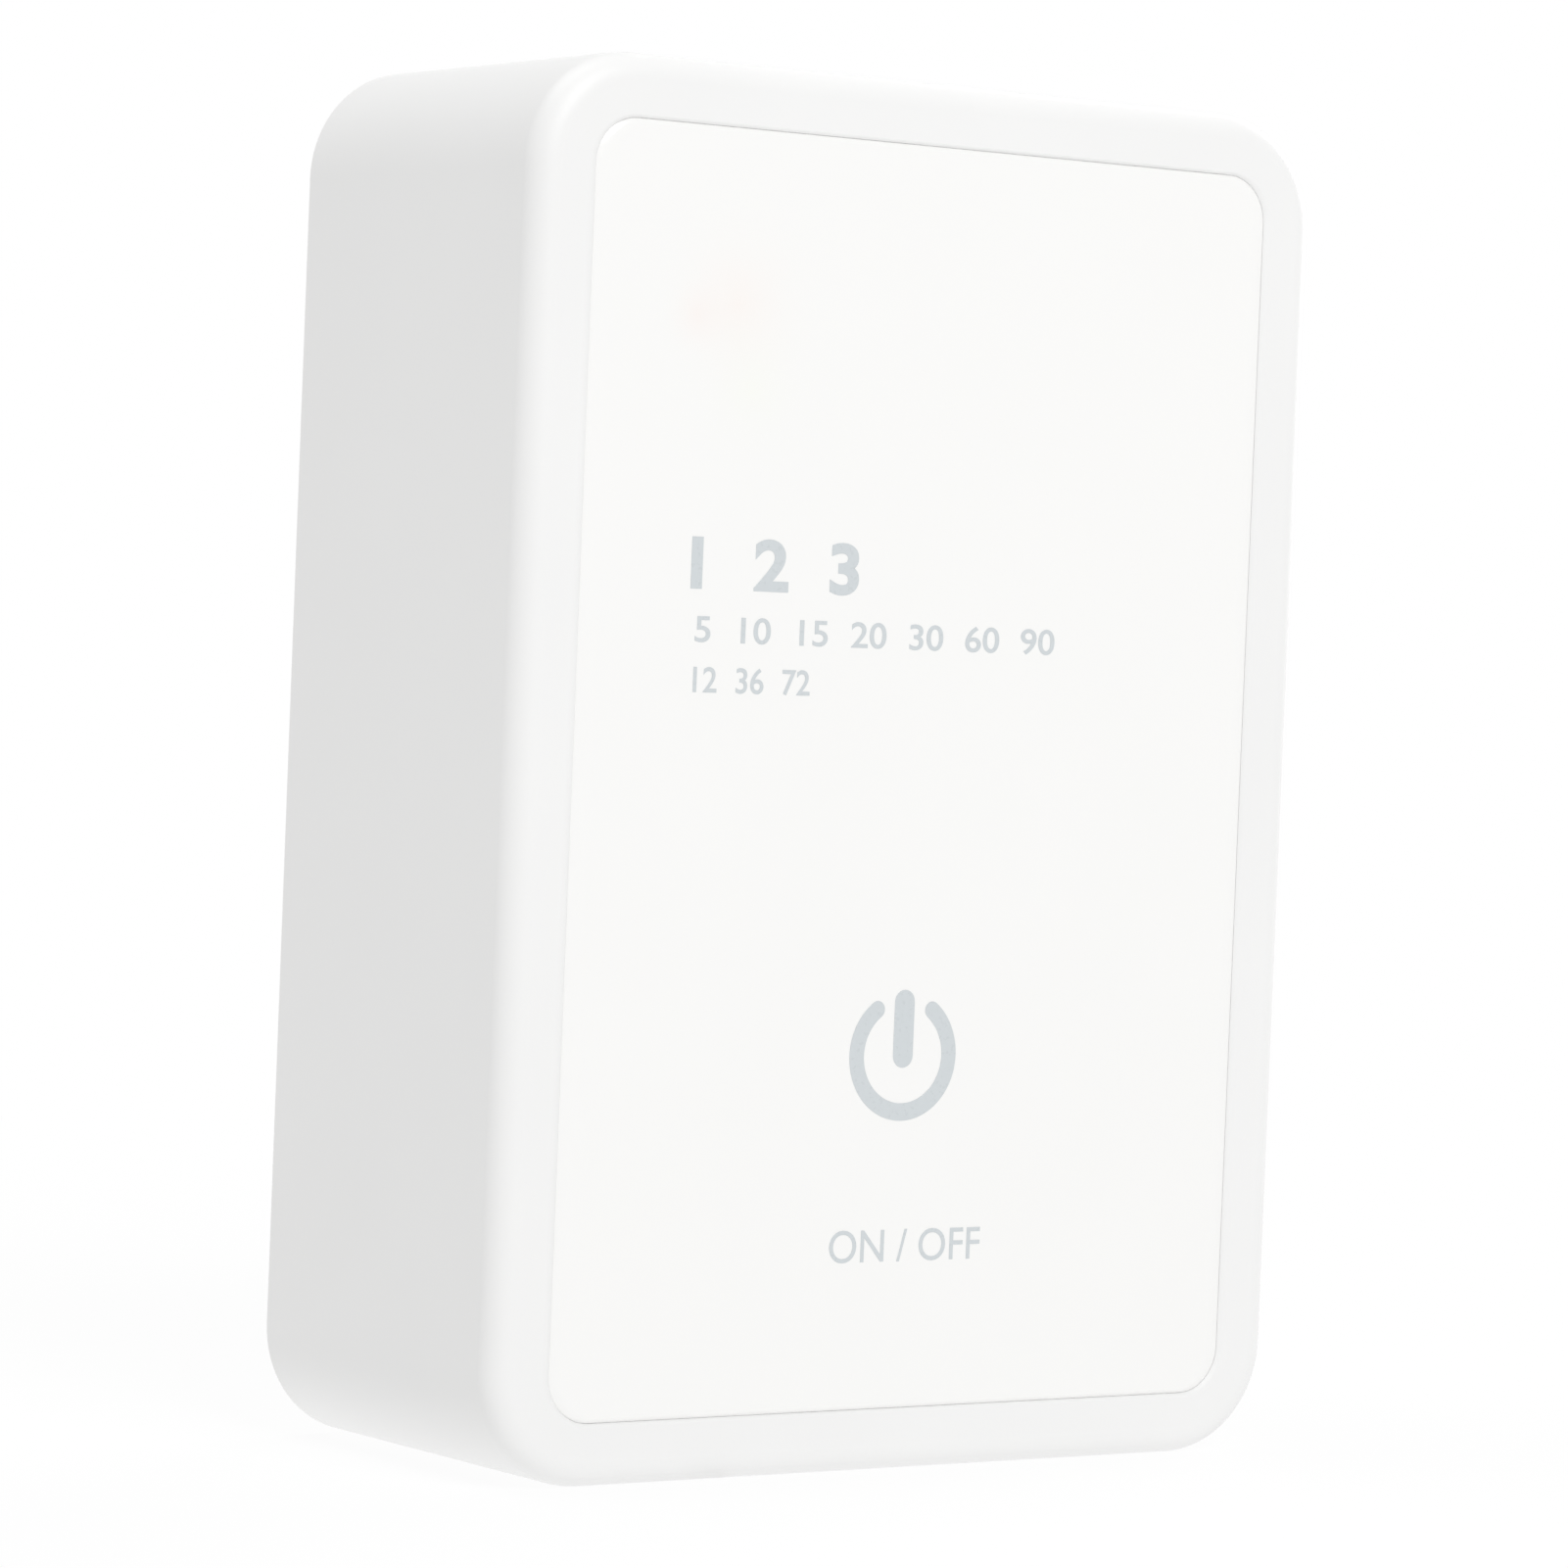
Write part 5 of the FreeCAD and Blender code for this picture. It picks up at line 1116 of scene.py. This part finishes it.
class CONTROLLER_OT_inside(bpy.types.Operator):
    """Materials of the pump, the motor, the board and the cell, and the board's solder joints"""
    bl_idname = "controller.inside"
    bl_label = "Inner parts"

    def execute(self, context):
        for node, material in inner_finishes().items():
            dress(node, material)
        cups, stems = diaphragm_parts()
        dark = bpy.data.materials["valve_rubber"]
        piece("diaphragm_cups", cups, dark, ["diaphragm"])
        piece("diaphragm_stems", stems, dark, body=YOKE)
        tin = metal("solder_tin", (0.72, 0.72, 0.7), 0.24, (1.0, 1.0, 1.0), 1800.0, 0.06)
        joint, places = solder_joints()
        joints = repeated("board_solder", joint, places, tin, most_turn=0.5, seed=7)
        piece("board_solder", joints, tin)
        return {"FINISHED"}


# Stage

def make_world(dome):
    """White to the eye, and an even dome for what it lights."""
    world = bpy.data.worlds.new("studio")
    bpy.context.scene.world = world
    nodes = Nodes(world)
    strength = nodes.between(nodes.seen(), 0.0, 1.0, dome, 1.0)
    nodes.end("ShaderNodeOutputWorld", nodes.node("ShaderNodeBackground", {}, {0: WHITE, 1: strength}))


def floor_finish(share):
    """Plain white to the eye for a share of it near the object, and for all of it far away."""
    near, far = 0.08, 0.3
    material = bpy.data.materials.new("floor_white")
    nodes = Nodes(material)
    place = nodes.node("ShaderNodeTexCoord", output="Object")
    away = nodes.node("ShaderNodeVectorMath", {"operation": "LENGTH"}, {0: place}, output="Value")
    plain_share = nodes.between(away, near, far, share, 1.0)
    lit = nodes.node("ShaderNodeBsdfDiffuse", {}, {0: (0.95, 0.95, 0.95)})
    plain = nodes.node("ShaderNodeEmission", {}, {0: WHITE, 1: 1.0})
    factor = nodes.between(nodes.seen(), 0.0, 1.0, 1.0, plain_share)
    nodes.end("ShaderNodeOutputMaterial",
              nodes.node("ShaderNodeMixShader", {}, {0: factor, 1: lit, 2: plain}))
    return material


def make_floor(share):
    """Large white floor."""
    half = 6.0
    mesh = bpy.data.meshes.new("floor")
    mesh.from_pydata([(-half, -half, 0.0), (half, -half, 0.0), (half, half, 0.0), (-half, half, 0.0)],
                     [], [(0, 1, 2, 3)])
    mesh.materials.append(floor_finish(share))
    object_of(mesh)


def make_lamp(name, power, place, size):
    """Square lamp that looks at the object's middle."""
    lamp = bpy.data.lights.new(name, "AREA")
    lamp.energy = power
    lamp.shape = "SQUARE"
    lamp.size = size
    made = object_of(lamp)
    made.location = place
    away = Vector(place) - (CAD_BOUNDS[0] + CAD_BOUNDS[1]) / 2
    made.rotation_euler = away.to_track_quat("Z", "Y").to_euler()


def make_camera():
    """Camera at the place and angle that fit the photograph."""
    camera = bpy.data.cameras.new("camera")
    camera.lens = 136.852
    camera.sensor_width = 36.0
    camera.clip_start = 0.02
    camera.clip_end = 60.0
    right = Vector((0.82018, -0.5707, 0.03997))
    up = Vector((-0.01737, 0.045, 0.99884))
    back = Vector((-0.57184, -0.81992, 0.027))
    place = Vector((-0.291266, -0.415661, 0.069986))
    made = object_of(camera)
    made.matrix_world = Matrix.Translation(place) @ Matrix((right, up, back)).transposed().to_4x4()
    bpy.context.scene.camera = made


class CONTROLLER_OT_stage(bpy.types.Operator):
    """White floor, soft studio light and the camera"""
    bl_idname = "controller.stage"
    bl_label = "Stage"

    def execute(self, context):
        stage = settings(context)[2]
        make_world(stage.dome)
        make_floor(stage.floor_white)
        make_lamp("key", stage.key, (-0.09, -1.37, 1.16), 0.9)
        make_lamp("top", stage.top, (-0.38, 0.29, 1.54), 1.0)
        make_lamp("side", stage.side, (0.92, 0.39, 0.45), 0.7)
        make_camera()
        context.scene.view_settings.view_transform = "Standard"
        return {"FINISHED"}


class CONTROLLER_PT_pieces(bpy.types.Panel):
    """Pieces of the controller"""
    bl_idname = "CONTROLLER_PT_pieces"
    bl_label = "Controller"
    bl_space_type = "VIEW_3D"
    bl_region_type = "UI"
    bl_category = "Controller"

    def draw(self, context):
        for group in settings(context):
            box = self.layout.box()
            for key in group.bl_rna.properties.keys():
                if key not in ("name", "rna_type"):
                    box.prop(group, key)
        for step in STEPS:
            self.layout.operator(step.bl_idname)


STEPS = [CONTROLLER_OT_case, CONTROLLER_OT_panel, CONTROLLER_OT_print, CONTROLLER_OT_cover,
         CONTROLLER_OT_screws, CONTROLLER_OT_nozzles, CONTROLLER_OT_socket, CONTROLLER_OT_inside,
         CONTROLLER_OT_stage]
GROUPS = [ControllerCase, ControllerPanel, ControllerStage]
CLASSES = GROUPS + STEPS + [CONTROLLER_PT_pieces]


def register():
    for item in CLASSES:
        bpy.utils.register_class(item)
    bpy.types.Scene.controller_case = bpy.props.PointerProperty(type=ControllerCase)
    bpy.types.Scene.controller_panel = bpy.props.PointerProperty(type=ControllerPanel)
    bpy.types.Scene.controller_stage = bpy.props.PointerProperty(type=ControllerStage)


def unregister():
    del bpy.types.Scene.controller_stage
    del bpy.types.Scene.controller_panel
    del bpy.types.Scene.controller_case
    for item in reversed(CLASSES):
        bpy.utils.unregister_class(item)


def main():
    """Make every piece in order."""
    register()
    bpy.ops.controller.stage()
    bpy.ops.controller.case()
    bpy.ops.controller.panel()
    bpy.ops.controller.print()
    bpy.ops.controller.cover()
    bpy.ops.controller.screws()
    bpy.ops.controller.nozzles()
    bpy.ops.controller.socket()
    bpy.ops.controller.inside()


if __name__ == "__main__":
    main()
